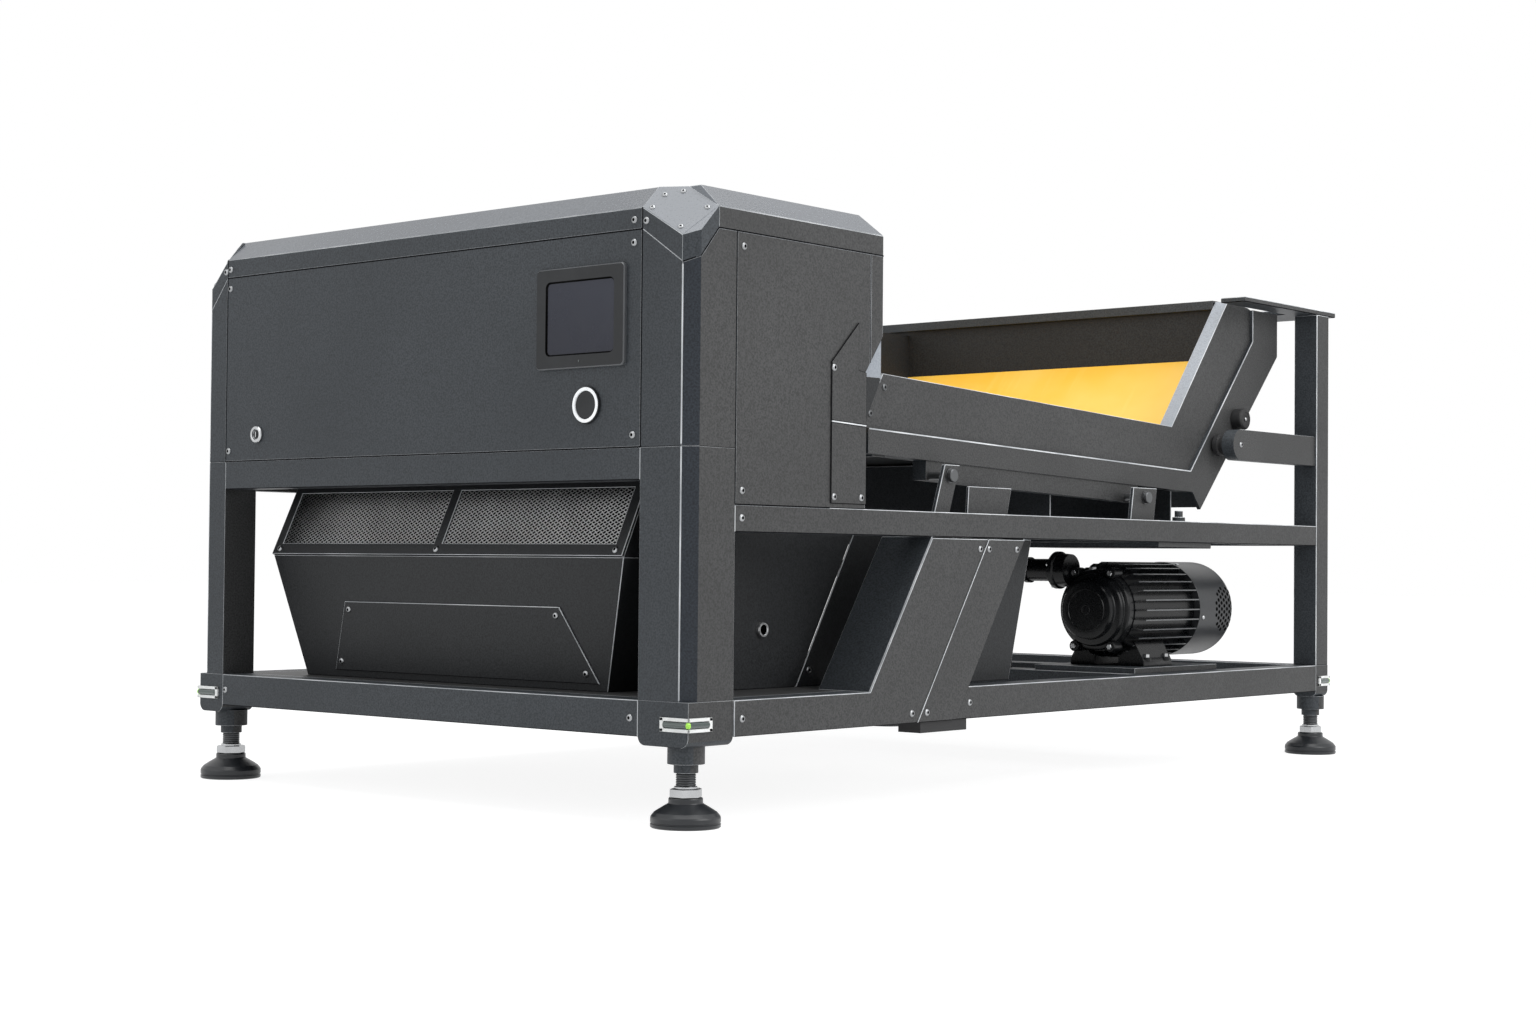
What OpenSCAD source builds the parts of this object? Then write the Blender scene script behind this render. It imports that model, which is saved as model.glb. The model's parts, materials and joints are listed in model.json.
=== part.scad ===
// Optical colour sorter for loose food: a free-standing frame with a control cabin,
// a screened discharge box at the front and a shaken infeed trough at the rear.
// X runs across the machine, Y from the control panel to the infeed, Z up from the floor.
// Lengths are in millimetres. Y positions below are measured back from the front face.

/* [Frame] */
// Width over the side faces
frame_w = 1350; // [1300:5:1450]
// Length from the front face to the back of the rear posts
frame_l = 2290; // [2250:5:2400]
// Underside of the bottom rails
rail_z = 151; // [145:1:160]
// Height of the bottom rails
rail_h = 62; // [56:1:66]
// Depth of the bottom rails
rail_d = 60; // [50:1:62]
// Underside of the middle rails
mid_z = 500; // [495:1:505]
// Height of the middle rails
mid_h = 47; // [44:1:50]
// Depth of the middle rails
mid_d = 50; // [45:1:54]
// Underside of the rail below the control panel
header_z = 587; // [580:1:590]
// Height of the rail below the control panel
header_h = 56; // [50:1:60]
// Width of the wide front post
post_w = 116; // [110:1:120]
// Depth of the wide front post
post_d = 113; // [105:1:118]
// Width of the slim front post
slim_w = 75; // [70:1:80]
// Depth of the slim front post
slim_d = 76; // [70:1:80]
// Chamfer on the outer edge of both front posts
post_chamfer = 22; // [15:1:26]
// Side of the square rear posts
rear_post = 60; // [58:1:64]
// Wall of every square tube
tube_wall = 3; // [2:0.5:4]
// Thickness of the cover sheets
sheet = 3; // [2:0.5:3]

/* [Feet] */
// Diameter of the foot pads
pad_d = 120; // [110:1:124]
// Diameter of the levelling studs
stud_d = 32; // [28:1:36]
// Centre of a front foot in from both faces
foot_inset = 45; // [42:1:50]
// Height of the corner block over a foot
block_h = 76; // [72:1:80]
// Radial play of a stud or shaft in its hole
fit = 0.05; // [0.02:0.01:0.08]

/* [Cabin] */
// Depth of the control cabin
cabin_d = 522; // [512:1:530]
// Run of the slanted cut-out in the cabin's rear edge
cut_run = 50; // [44:1:57]
// Lower end of the slanted cut-out
cut_low_z = 797; // [790:1:805]
// Upper end of the slanted cut-out
cut_high_z = 865; // [855:1:875]
// Width of the trim strip at the cabin's rear edge
trim_w = 38; // [34:1:42]
// Underside of the fascia band
fascia_z = 1015; // [1005:1:1025]
// Height of the fascia band
fascia_h = 37; // [34:1:42]
// Rise of the roof bevel
roof_rise = 40; // [34:1:46]
// Inset of the roof bevel
roof_in = 42; // [36:1:48]
// Depth of a corner cap along the side
cap_d = 66; // [60:1:72]
// Drop of a corner cap's face at the corner
cap_drop = 55; // [48:1:60]
// Height of a corner cap's band at the corner
cap_band = 45; // [40:1:50]

/* [Control panel] */
// Thickness of the front panel
panel_t = 4; // [3:0.5:5]
// Width of the touch screen's bezel
screen_w = 216; // [200:1:230]
// Height of the touch screen's bezel
screen_h = 177; // [165:1:185]
// Right edge of the bezel in from the side face
screen_in = 151; // [145:1:160]
// Underside of the bezel
screen_z = 784; // [775:1:795]
// Width of the screen glass
glass_w = 165; // [155:1:172]
// Height of the screen glass
glass_h = 128; // [120:1:134]
// Diameter of the lit ring round the start button
ring_d = 66; // [62:1:70]
// Diameter of the start button
button_d = 50; // [46:1:52]
// Travel of the start button
button_travel = 4; // [3:0.5:5]
// Centre of the start button in from the side face
ring_in = 245; // [235:1:255]
// Height of the start button's centre
ring_z = 719; // [710:1:728]
// Diameter of the key switch's rim
key_d = 34; // [30:1:38]
// Centre of the key switch in from the other side face
key_in = 179; // [170:1:190]
// Height of the key switch
key_z = 695; // [685:1:705]

/* [Discharge box] */
// Box wall in from the wide-post side face
hop_right = 240; // [232:1:250]
// Box wall in from the slim-post side face
hop_left = 119; // [112:1:126]
// Taper of each box side from the ridge to the foot
hop_taper = 70; // [60:1:80]
// Front ridge behind the front face
ridge_y = 90; // [84:1:98]
// Height of the front ridge
ridge_z = 455; // [448:1:462]
// Foot of the box's front plate behind the front face
hop_foot_y = 125; // [120:1:132]
// Back of the box
hop_back_y = 385; // [380:1:390]
// Top of the screened hood
hood_z = 600; // [595:1:604]
// Lean of the hood's screen from the ridge to its top
hood_lean = 68; // [62:1:74]
// Width of the bars of the screen frame
bar_w = 24; // [20:1:28]
// Lean of the splitter flap each way, in degrees
splitter_swing = 12; // [8:1:12]

/* [Side bays and braces] */
// Recess of the lower panel on the wide-post side
bay_right = 207; // [200:1:214]
// Depth of the brace on the slim-post side
slim_brace_d = 96; // [92:1:104]
// Front of a brace where it stands on the rail
brace_y = 489; // [480:1:500]
// Length of a brace along the rail
brace_l = 312; // [300:1:320]
// Depth of a brace
brace_d = 120; // [110:1:130]
// Backward lean of a brace for each millimetre of height
brace_lean = 0.66; // [0.62:0.01:0.7]

/* [Trough] */
// Trough wall in from each side face
trough_in = 80; // [78:1:84]
// How far the cradle beam stands out from the wall
beam_proud = 8; // [7:0.5:8]
// Front end of the cradle beam
trough_y = 573; // [568:1:580]
// Ledge on the cradle beam at its front end
ledge_front_z = 703; // [700:1:706]
// Ledge on the cradle beam at its rear end
ledge_rear_z = 665; // [662:1:668]
// Height of the cradle beam
beam_h = 48; // [46:1:50]
// Gap from the trough's arms to the back of the frame
arm_gap = 125; // [120:1:130]
// Top of the trough's arms
arm_top_z = 1055; // [1050:1:1058]
// Height where the back of an arm starts to slant
arm_knee_z = 953; // [945:1:960]
// Lowest point of the cradle
tip_z = 578; // [574:1:582]
// Distance that the slanted arm runs back
arm_run = 361; // [355:1:366]
// Stroke of the shaking trough each way
shake = 3; // [2:0.5:3]
// Divider of the narrow second lane in from the slim-post side face
lane_in = 339; // [320:1:360]
// Height where the yellow lining ends on the rear wall
liner_z = 930; // [920:1:940]

/* [Drive] */
// Motor axis in from the wide-post side face
motor_in = 185; // [182:1:188]
// Height of the motor axis
motor_z = 350; // [345:1:354]
// Radius over the motor's fins
motor_r = 107; // [104:1:109]
// Front of the motor's end cover ahead of the back of the frame
motor_run = 790; // [786:1:794]
// Crank shaft ahead of the back of the frame
crank_run = 760; // [757:1:763]
// Height of the crank shaft
crank_z = 437; // [434:1:440]
// Diameter of the crank shaft
shaft_d = 40; // [36:1:41]
// Throw of the two eccentrics
crank_throw = 4; // [3:0.5:4]

/* [Hidden] */
$fn = 48;
charcoal = [0.16, 0.17, 0.18];
grey = [0.22, 0.22, 0.23];
black = [0.05, 0.05, 0.055];
silver = [0.75, 0.76, 0.78];
white = [0.92, 0.92, 0.9];
yellow = [0.95, 0.66, 0.05];
green = [0.45, 0.8, 0.2];
rubber = [0.08, 0.08, 0.08];

half_w = frame_w / 2;
rail_top = rail_z + rail_h;
block_z = rail_top - block_h;
mid_top = mid_z + mid_h;
cabin_z = header_z + header_h;
bevel_z = fascia_z + fascia_h;
roof_z = bevel_z + roof_rise;
rear_y = frame_l - rear_post;
pad_over = pad_d / 2 - foot_inset;
shelf_over = 33;
shelf_z = arm_top_z + 1;
shelf_t = 12;
y_front = -(frame_l + shelf_over - pad_over) / 2;
stud_r = stud_d / 2;
cap_tip_z = bevel_z - cap_drop;
cap_low_z = cap_tip_z - cap_band;
trim_y = cabin_d - trim_w;
cut_y = cabin_d - cut_run;
cut_slope = (cut_high_z - cut_low_z) / cut_run;
seam = 3;
gap = 0.3;
seam_y = brace_y + 143;
step_y = brace_y + 151;
bay_seam_y = 526;
bay_lean = 0.59;
hex_z = 50;
hex_h = 16;

// Points of the trough's side, as [y, z]
arm_back_y = frame_l - arm_gap;
tip_y = arm_back_y - arm_run;
beam_end_y = tip_y - 34;
slot_y = tip_y - 44;
arm_slot_y = arm_back_y - 119;
wall_front_low = [trough_y - 2, ledge_front_z + 20];
wall_front_top = [trough_y + 54, ledge_front_z + 106];
wall_inner_low = [arm_back_y - 475, ledge_rear_z + 97];
wall_inner_top = [arm_back_y - 223, arm_top_z + 13];
pan_front = [trough_y - 53, ledge_front_z - 3];
pan_foot = [arm_back_y - 475, ledge_rear_z - 3];
pan_knee = [arm_back_y - 223, liner_z];
pan_top = [arm_back_y - 223, arm_top_z - 5];
wall_t = 4;
flange_w = 34;
ledge_fall = (ledge_front_z - ledge_rear_z) / (beam_end_y - trough_y);
pan_fall = (pan_front[1] - pan_foot[1]) / (pan_foot[0] - pan_front[0]);
bolt_r = 8;
bolt_gap = 4;
front_bolt_y = trough_y + 199;
rear_bolt_y = beam_end_y - 280;
knuckle_y = arm_back_y - 295;
knuckle_z = 727;
knuckle_r = 35;

// Drive
base_t = 12;
motor_y = frame_l - motor_run;
crank_y = frame_l - crank_run;
motor_body_y = motor_y + 60;
motor_end_y = motor_body_y + 255;
cowl_l = 170;
rotor_r = 14;
shaft_r = shaft_d / 2;
rod_ring_r = 38;
rod_in = 480;
rod_far_in = 170;
pedestal_in = 420;
pedestal_far_in = 120;
pan_gap = 2.7;
cross_h = 32;
cross_y = crank_y - 200;
cross_z = pan_front[1] - pan_fall * (cross_y - pan_front[0]) - wall_t - pan_gap;
cross_low = cross_z - cross_h;

// Optics and air
air_y = hop_back_y + 40;
air_z = 323;
air_r = 9.3;
chute_y = trough_y - 61;
chute_z = ledge_front_z - 13;
chute_drop = 182;
camera_y = ridge_y + 60;
camera_z = fascia_z - 115;
splitter_y = hop_back_y - 150;
splitter_z = 300;
splitter_r = 8;

function xr(t) = half_w - t;
function xl(t) = t - half_w;
function brace_at(y, z) = y + brace_lean * (z - rail_top);
function ledge_at(y) = ledge_front_z - ledge_fall * (y - trough_y);
function pan_at(y) = pan_front[1] - pan_fall * (y - pan_front[0]);

// Offset of a path of [y, z] points to its left
function side_of(a, b) = let (d = b - a) [-d[1], d[0]] / norm(d);
function mitre(p, i, t) =
    i == 0 ? p[0] + t * side_of(p[0], p[1]) :
    i == len(p) - 1 ? p[i] + t * side_of(p[i - 1], p[i]) :
    let (a = side_of(p[i - 1], p[i]), b = side_of(p[i], p[i + 1]))
    p[i] + t * (a + b) / (1 + a * b);
function band(p, t) = concat(p, [for (i = [len(p) - 1:-1:0]) mitre(p, i, t)]);

// Plan of a front post from its outer corner, drawn i inside the outline
function post_outline(w, d, i) = [
    [-w + i, i],
    [-post_chamfer - i * tan(22.5), i],
    [-i, post_chamfer + i * tan(22.5)],
    [-i, d - i],
    [-w + i, d - i]];

// Plan of a corner cap, drawn i inside its two outer faces and past its inner sides by e
function cap_side(y, i) = y * post_chamfer / cap_d - post_chamfer - i * norm([cap_d, post_chamfer]) / cap_d;
function cap_outline(w, i, e) = [
    [-w - e, i], [cap_side(i, i), i], [cap_side(cap_d + e, i), cap_d + e], [-w - e, cap_d + e]];

// Rise inwards of a plane that drops to the front edge of a post's chamfer
function cap_rise(w, drop) = drop / (w - post_chamfer);
function cap_back(w, drop) = (drop + post_chamfer * cap_rise(w, drop)) / cap_d;

module placed() translate([0, y_front, 0]) children();

module pair() {
    children();
    mirror([1, 0, 0]) children();
}

// The front right and front left corners, each with its own post width and depth
module right_corner() translate([half_w, 0, 0]) children();
module left_corner() mirror([1, 0, 0]) translate([half_w, 0, 0]) children();

// A box from one corner to the other
module box(a, b) translate(a) cube(b - a);

// A [y, z] outline drawn out along X
module slab(x0, x1) translate([x0, 0, 0]) rotate([90, 0, 90]) linear_extrude(x1 - x0) children();

// A round bar along X at a [y, z] point
module bar_x(p, r, x0, x1) translate([x0, p[0], p[1]]) rotate([0, 90, 0]) cylinder(r = r, h = x1 - x0);

// A round bar along Y
module bar_y(x, z, r, y0, y1) translate([x, y0, z]) rotate([-90, 0, 0]) cylinder(r = r, h = y1 - y0);

module tube_x(a, b) difference() {
    box(a, b);
    box(a + [-1, tube_wall, tube_wall], b + [1, -tube_wall, -tube_wall]);
}

module tube_y(a, b) difference() {
    box(a, b);
    box(a + [tube_wall, -1, tube_wall], b + [-tube_wall, 1, -tube_wall]);
}

module tube_z(a, b) difference() {
    box(a, b);
    box(a + [tube_wall, tube_wall, -1], b + [-tube_wall, -tube_wall, 1]);
}

// The space over (side 1) or under (side -1) a plane that rises inwards from a corner
module half_space(z0, a, b, side) {
    l = norm([a, -b, 1]);
    translate([0, 0, z0])
        rotate([0, acos(1 / l), atan2(-b, a)])
            translate([-300, -300, side > 0 ? 0 : -300])
                cube([600, 600, 300]);
}

// The space over or under such a plane, z high at the chamfer's front edge
module cap_space(w, z, drop, side)
    half_space(z - post_chamfer * cap_rise(w, drop), cap_rise(w, drop), cap_back(w, drop), side);

// Feet and corner blocks
module foot_block(w, d, cx, cy) {
    r = 16;
    difference() {
        union() {
            translate([0, d, block_z]) rotate([90, 0, 0]) linear_extrude(d) {
                translate([-w, r]) square([w, block_h - r]);
                translate([-w + r, 0]) square([w - 2 * r, r + 1]);
                translate([-w + r, r]) circle(r);
                translate([-r, r]) circle(r);
            }
            translate([-cx, cy, block_z - 30]) cylinder(r = stud_r + 16, h = 31);
            translate([-cx, cy, block_z - 45]) cylinder(r = stud_r + 5, h = 46);
        }
        translate([-cx, cy, block_z - 46]) cylinder(r = stud_r + fit, h = 46 + block_h - 14);
    }
}

module foot_blocks() color(charcoal) placed() {
    right_corner() foot_block(post_w, post_d, foot_inset, foot_inset);
    left_corner() foot_block(slim_w, slim_d, foot_inset, foot_inset);
    pair() translate([half_w, rear_y, 0])
        foot_block(rear_post, rear_post, rear_post / 2, rear_post / 2);
}

// A spirit level bent round an outer corner, its tube lying in one window on both faces
module spirit_level(len_a, len_b) {
    z0 = block_z + 26;
    h = 24;
    t = 4;
    end = 8;
    tube_r = 5.5;
    difference() {
        union() {
            box([-len_a, -t, z0], [t, 0, z0 + h]);
            box([0, -t, z0], [t, len_b, z0 + h]);
        }
        box([end - len_a, -t - 1, z0 + 6], [t + 1, len_b - end, z0 + h - 6]);
    }
    difference() {
        translate([1, -1, z0 + h / 2]) {
            sphere(r = tube_r);
            bar_x([0, 0], tube_r, end - len_a - 1, 0);
            bar_y(0, 0, tube_r, 0, len_b - end + 1);
        }
        box([-len_a, 0, z0], [0, len_b, z0 + h]);
    }
}

module spirit_levels() color(white) placed() {
    right_corner() spirit_level(62, 57);
    left_corner() spirit_level(62, 57);
    pair() translate([half_w, frame_l, 0]) mirror([0, 1, 0]) spirit_level(48, 48);
}

module foot(x, y) placed() translate([x, y, 0]) {
    color(silver) {
        translate([0, 0, hex_z]) cylinder(r = stud_r, h = block_z + 50 - hex_z);
        translate([0, 0, hex_z]) cylinder(r = 29, h = hex_h, $fn = 6);
    }
    color(black) rotate_extrude()
        polygon([[0, 0], [pad_d / 2, 0], [pad_d / 2, 18], [pad_d / 2 - 4, 23], [34, 42], [30, hex_z],
            [0, hex_z]]);
}

module foot_front_right() foot(xr(foot_inset), foot_inset);
module foot_front_left() foot(xl(foot_inset), foot_inset);
module foot_rear_right() foot(xr(rear_post / 2), frame_l - rear_post / 2);
module foot_rear_left() foot(xl(rear_post / 2), frame_l - rear_post / 2);

// Posts and rails
module post(w, d, z0, z1) translate([0, 0, z0]) linear_extrude(z1 - z0) difference() {
    polygon(post_outline(w, d, 0));
    polygon(post_outline(w, d, tube_wall));
}

module front_post(w, d) {
    post(w, d, rail_top, cabin_z - 1);
    difference() {
        post(w, d, cabin_z, fascia_z);
        cap_space(w, cap_low_z, fascia_z - cap_low_z, 1);
    }
    // joint plate in the seam at the cabin's foot
    translate([0, 0, cabin_z - 1]) linear_extrude(1) polygon(post_outline(w, d, tube_wall / 2));
}

module front_posts() color(charcoal) placed() {
    right_corner() front_post(post_w, post_d);
    left_corner() front_post(slim_w, slim_d);
}

module rear_posts() color(charcoal) placed() pair()
    tube_z([xr(rear_post), rear_y, rail_top], [half_w, frame_l, shelf_z]);

module bottom_rails() color(charcoal) placed() {
    tube_x([xl(slim_w), 0, rail_z], [xr(post_w), rail_d, rail_top]);
    tube_x([xl(rear_post), rear_y + 1, rail_z], [xr(rear_post), frame_l - 1, rail_top]);
    tube_y([xr(rail_d), post_d, rail_z], [half_w, rear_y, rail_top]);
    tube_y([-half_w, slim_d, rail_z], [xl(rail_d), rear_y, rail_top]);
    for (y = [crank_y - 30, motor_body_y + 240])
        tube_x([xl(rail_d), y, rail_z], [xr(rail_d), y + 60, rail_top]);
}

module guard(y, top) translate([0, y + sheet, 0]) rotate([90, 0, 0]) linear_extrude(sheet)
    polygon([[xl(mid_d), mid_z + 5], [xr(mid_d), mid_z + 5], [xr(mid_d), mid_top - 2], [xr(125), mid_top - 2],
        [xr(125), top], [xl(125), top], [xl(125), mid_top - 2], [xl(mid_d), mid_top - 2]]);

module mid_rails() color(charcoal) placed() {
    tube_x([xl(slim_w), 0, header_z], [xr(post_w), 60, cabin_z]);
    tube_x([xl(rear_post), rear_y + 5, mid_z], [xr(rear_post), frame_l - 5, mid_top]);
    tube_y([xr(mid_d), post_d, mid_z], [half_w, rear_y, mid_top]);
    // on the slim-post side the rail steps up to the cabin's foot
    tube_y([-half_w, slim_d, header_z], [xl(mid_d), step_y + 60, cabin_z]);
    tube_y([-half_w, step_y, mid_z], [xl(mid_d), rear_y, mid_top]);
    tube_z([-half_w, step_y, mid_top], [xl(mid_d), step_y + 60, header_z]);
    // guards across the frame under the trough, and the plate over the motor
    guard(cross_y - 62, pan_at(cross_y - 62) - wall_t - 2 * pan_gap);
    guard(tip_y - 41, ledge_rear_z - 10);
    box([xr(mid_d + 330), motor_y + 15, mid_z - base_t], [xr(8), motor_y + 240, mid_z]);
}

module base_plate() color(grey) placed() difference() {
    box([xl(rail_d), rail_d, rail_top - sheet], [xr(rail_d), hop_back_y + 255, rail_top]);
    box([xr(post_w), 0, 0], [half_w, post_d, rail_top + 1]);
    box([-half_w, 0, 0], [xl(slim_w), slim_d, rail_top + 1]);
    box([xl(hop_left + hop_taper + sheet), hop_foot_y + sheet, 0],
        [xr(hop_right + hop_taper + sheet), hop_back_y - sheet, rail_top + 1]);
}

// Slanted braces and lower side panels
module brace_column(depth) {
    slab(xr(depth), half_w) difference() {
        polygon([[brace_y, rail_top], [brace_y + brace_l, rail_top],
            [brace_at(brace_y + brace_l, mid_z), mid_z], [brace_at(brace_y, mid_z), mid_z]]);
        polygon([[brace_at(brace_y + 4, rail_top - 1), rail_top - 1],
            [brace_at(brace_y + brace_l - 4, rail_top - 1), rail_top - 1],
            [brace_at(brace_y + brace_l - 4, mid_z + 1), mid_z + 1],
            [brace_at(brace_y + 4, mid_z + 1), mid_z + 1]]);
    }
    slab(xr(depth - 16), xr(depth - 20))
        polygon([[brace_y + brace_l, rail_top], [brace_y + brace_l + 280, rail_top],
            [brace_at(brace_y + brace_l, mid_z) + 170, mid_z], [brace_at(brace_y + brace_l, mid_z), mid_z]]);
}

module brace_columns() color(charcoal) placed() {
    brace_column(brace_d);
    mirror([1, 0, 0]) brace_column(slim_brace_d);
}

module brace_plate(y0) {
    z1 = mid_z - seam;
    lean = brace_lean * (z1 - rail_z);
    slab(half_w, half_w + sheet)
        polygon([[y0, rail_z], [seam_y - seam / 2, rail_z], [seam_y - seam / 2 + lean, z1],
            [brace_at(brace_y, z1), z1], [brace_y, rail_top], [y0, rail_top]]);
    slab(half_w, half_w + sheet)
        polygon([[seam_y + seam / 2, rail_z], [seam_y + 125, rail_z], [seam_y + 125 + lean, z1],
            [seam_y + seam / 2 + lean, z1]]);
}

module brace_plates() color(grey) placed() {
    brace_plate(post_d);
    mirror([1, 0, 0]) brace_plate(slim_d);
}

module centre_pads() color(rubber) placed() pair()
    box([xr(rail_d - 4), 651, rail_z - 21], [xr(4), 799, rail_z]);

module lower_panel_outline() {
    rise = bay_lean * (mid_top - rail_top);
    difference() {
        polygon([[post_d, rail_top], [bay_seam_y, rail_top], [bay_seam_y + rise, mid_top], [post_d, mid_top]]);
        translate([air_y, air_z]) circle(11.1);
    }
    polygon([[bay_seam_y + seam, rail_top], [bay_seam_y + 116, rail_top], [bay_seam_y + 272, mid_z - 12],
        [bay_seam_y + 272, mid_top], [bay_seam_y + seam + rise, mid_top]]);
}

module lower_side_panels() color(grey) placed()
    slab(xr(bay_right + sheet), xr(bay_right)) lower_panel_outline();

module air_inlet() color(silver) placed() difference() {
    union() {
        bar_x([air_y, air_z], 14, xr(bay_right), xr(bay_right - 8));
        bar_x([air_y, air_z], 11, xr(bay_right + sheet), xr(bay_right) + 1);
    }
    bar_x([air_y, air_z], air_r, xr(bay_right + sheet) - 1, xr(bay_right - 8) + 1);
}

// Discharge box
module hopper_solid(i, over) {
    x0 = xl(hop_left + i);
    x1 = xr(hop_right + i);
    z0 = rail_top - over;
    z1 = ridge_z + over;
    polyhedron(
        [[x0 + hop_taper, hop_foot_y + i, z0], [x1 - hop_taper, hop_foot_y + i, z0],
            [x1 - hop_taper, hop_back_y - i, z0], [x0 + hop_taper, hop_back_y - i, z0],
            [x0, ridge_y + i, z1], [x1, ridge_y + i, z1], [x1, hop_back_y - i, z1], [x0, hop_back_y - i, z1]],
        [[0, 1, 2, 3], [4, 5, 1, 0], [7, 6, 5, 4], [5, 6, 2, 1], [6, 7, 3, 2], [7, 4, 0, 3]]);
}

module discharge_hopper() color(grey) placed() difference() {
    hopper_solid(0, 0);
    hopper_solid(sheet, 1);
    bar_x([splitter_y, splitter_z], splitter_r + fit, -half_w, half_w);
}

module discharge_hood() color(grey) placed() {
    for (x = [xl(hop_left), xr(hop_right) - sheet])
        slab(x, x + sheet)
            polygon([[ridge_y, ridge_z], [hop_back_y, ridge_z], [hop_back_y, hood_z],
                [ridge_y + hood_lean, hood_z]]);
    box([xl(hop_left), hop_back_y - sheet, ridge_z], [xr(hop_right), hop_back_y, hood_z - 50]);
}

hood_angle = atan2(hood_z - ridge_z, hood_lean);
hood_len = norm([hood_z - ridge_z, hood_lean]);
hood_x0 = xl(hop_left);
hood_w = frame_w - hop_left - hop_right;
window_w = (hood_w - 3 * bar_w) / 2;

// The slanted plane of the screen, with its own Y running up the slope
module on_hood() translate([0, ridge_y, ridge_z]) rotate([hood_angle, 0, 0]) children();

module windows() for (i = [0, 1])
    translate([hood_x0 + bar_w + i * (window_w + bar_w), bar_w]) square([window_w, hood_len - 2 * bar_w]);

module grille_frame() color(charcoal) placed() on_hood() linear_extrude(6) difference() {
    translate([hood_x0, 0]) square([hood_w, hood_len]);
    windows();
}

module grille_mesh() color(silver) placed() on_hood() translate([0, 0, 1.5]) linear_extrude(2) windows();

front_angle = atan2(ridge_z - rail_top, ridge_y - hop_foot_y);

// The slanted plane of the box's front plate, with its own Y running up the plate
module on_front_plate() translate([0, hop_foot_y, rail_top]) rotate([front_angle, 0, 0]) children();

cover_right = hop_right + hop_taper + 16;
cover_left = hop_left + hop_taper + 94;

module access_cover() color(charcoal) placed() on_front_plate() linear_extrude(sheet)
    polygon([[xl(cover_left), 14], [xr(cover_right), 14], [xr(cover_right + 86), 153],
        [xl(cover_left + 50), 153]]);

// Control cabin
screen_x = xr(screen_in + screen_w);
lip = 10;

module front_panel() color(charcoal) placed() difference() {
    box([xl(slim_w), 0, cabin_z], [xr(post_w), panel_t, fascia_z]);
    box([screen_x + lip, -1, screen_z + lip],
        [screen_x + screen_w - lip, panel_t + 1, screen_z + screen_h - lip]);
    bar_y(xr(ring_in), ring_z, ring_d / 2 - 4, -1, panel_t + 1);
    bar_y(xl(key_in), key_z, key_d / 2 - 5 + fit, -1, panel_t + 1);
}

module fascias() color(charcoal) placed() {
    box([xl(slim_w), 0, fascia_z], [xr(post_w), sheet, bevel_z]);
    pair() box([xr(sheet), cap_d, fascia_z], [half_w, cabin_d, bevel_z]);
}

module corner_cap(w) difference() {
    translate([0, 0, cap_low_z]) linear_extrude(roof_z - cap_low_z) polygon(cap_outline(w, 0, 0));
    cap_space(w, cap_tip_z, cap_drop, 1);
    cap_space(w, cap_low_z, fascia_z - cap_low_z, -1);
    difference() {
        translate([0, 0, cap_low_z - 1]) linear_extrude(roof_z - 4 - cap_low_z) polygon(cap_outline(w, 4, 1));
        cap_space(w, cap_tip_z - 6, cap_drop, 1);
    }
}

module corner_caps() color(charcoal) placed() {
    right_corner() corner_cap(post_w);
    left_corner() corner_cap(slim_w);
}

// The bevelled roof as a solid, reaching under its lower edge by skirt
module roof_solid(skirt) intersection() {
    translate([0, cabin_d, 0]) rotate([90, 0, 0]) linear_extrude(cabin_d)
        polygon([[-half_w, bevel_z - skirt], [half_w, bevel_z - skirt], [half_w, bevel_z],
            [half_w - roof_in, roof_z], [roof_in - half_w, roof_z], [-half_w, bevel_z]]);
    slab(-half_w, half_w)
        polygon([[0, bevel_z - skirt], [cabin_d, bevel_z - skirt], [cabin_d, bevel_z],
            [cabin_d - roof_in / 2, roof_z], [roof_in, roof_z], [0, bevel_z]]);
}

// The two places in the roof that the corner caps take, grown by e
module cap_places(e) {
    box([xr(post_w + e), -1, fascia_z], [half_w + 1, cap_d + e, roof_z + 1]);
    box([-half_w - 1, -1, fascia_z], [xl(slim_w + e), cap_d + e, roof_z + 1]);
}

module roof_cover() color(charcoal) placed() difference() {
    roof_solid(0);
    difference() {
        translate([0, 0, -4]) roof_solid(20);
        cap_places(4);
    }
    cap_places(0);
}

module cabin_side(y0, z0) {
    slab(xr(sheet), half_w)
        polygon([[y0, z0], [cut_y, z0], [cut_y, cut_low_z],
            [trim_y, cut_low_z + cut_slope * (trim_y - cut_y)], [trim_y, fascia_z], [y0, fascia_z]]);
    slab(xr(sheet), half_w)
        polygon([[trim_y + 2, cut_low_z + cut_slope * (trim_y + 2 - cut_y)], [cabin_d, cut_high_z],
            [cabin_d, fascia_z], [trim_y + 2, fascia_z]]);
}

module cabin_side_panels() color(grey) placed() {
    cabin_side(post_d, mid_top);
    mirror([1, 0, 0]) cabin_side(slim_d, cabin_z);
}

module side_shield(z0) {
    y0 = cut_y - 102;
    y1 = cut_y - 1;
    slab(half_w, half_w + sheet) {
        polygon([[y0, z0 + 8], [y1, z0 + 8], [y1, mid_top + 150], [y0, mid_top + 154]]);
        polygon([[y0, mid_top + 157], [y1, mid_top + 153], [y1, cut_low_z - 1], [y1 - 23, cut_low_z + 2],
            [y1 - 23, cut_low_z + 89], [y0, cut_low_z + 13]]);
    }
    slab(xr(2 * sheet), xr(sheet))
        polygon([[cut_y - 14, cut_low_z - 8], [cabin_d - 1, cut_low_z - 8], [cabin_d - 1, cut_high_z],
            [cabin_d - 14, cut_high_z]]);
}

module side_shields() color(grey) placed() {
    side_shield(mid_top);
    mirror([1, 0, 0]) side_shield(header_z);
}

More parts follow.
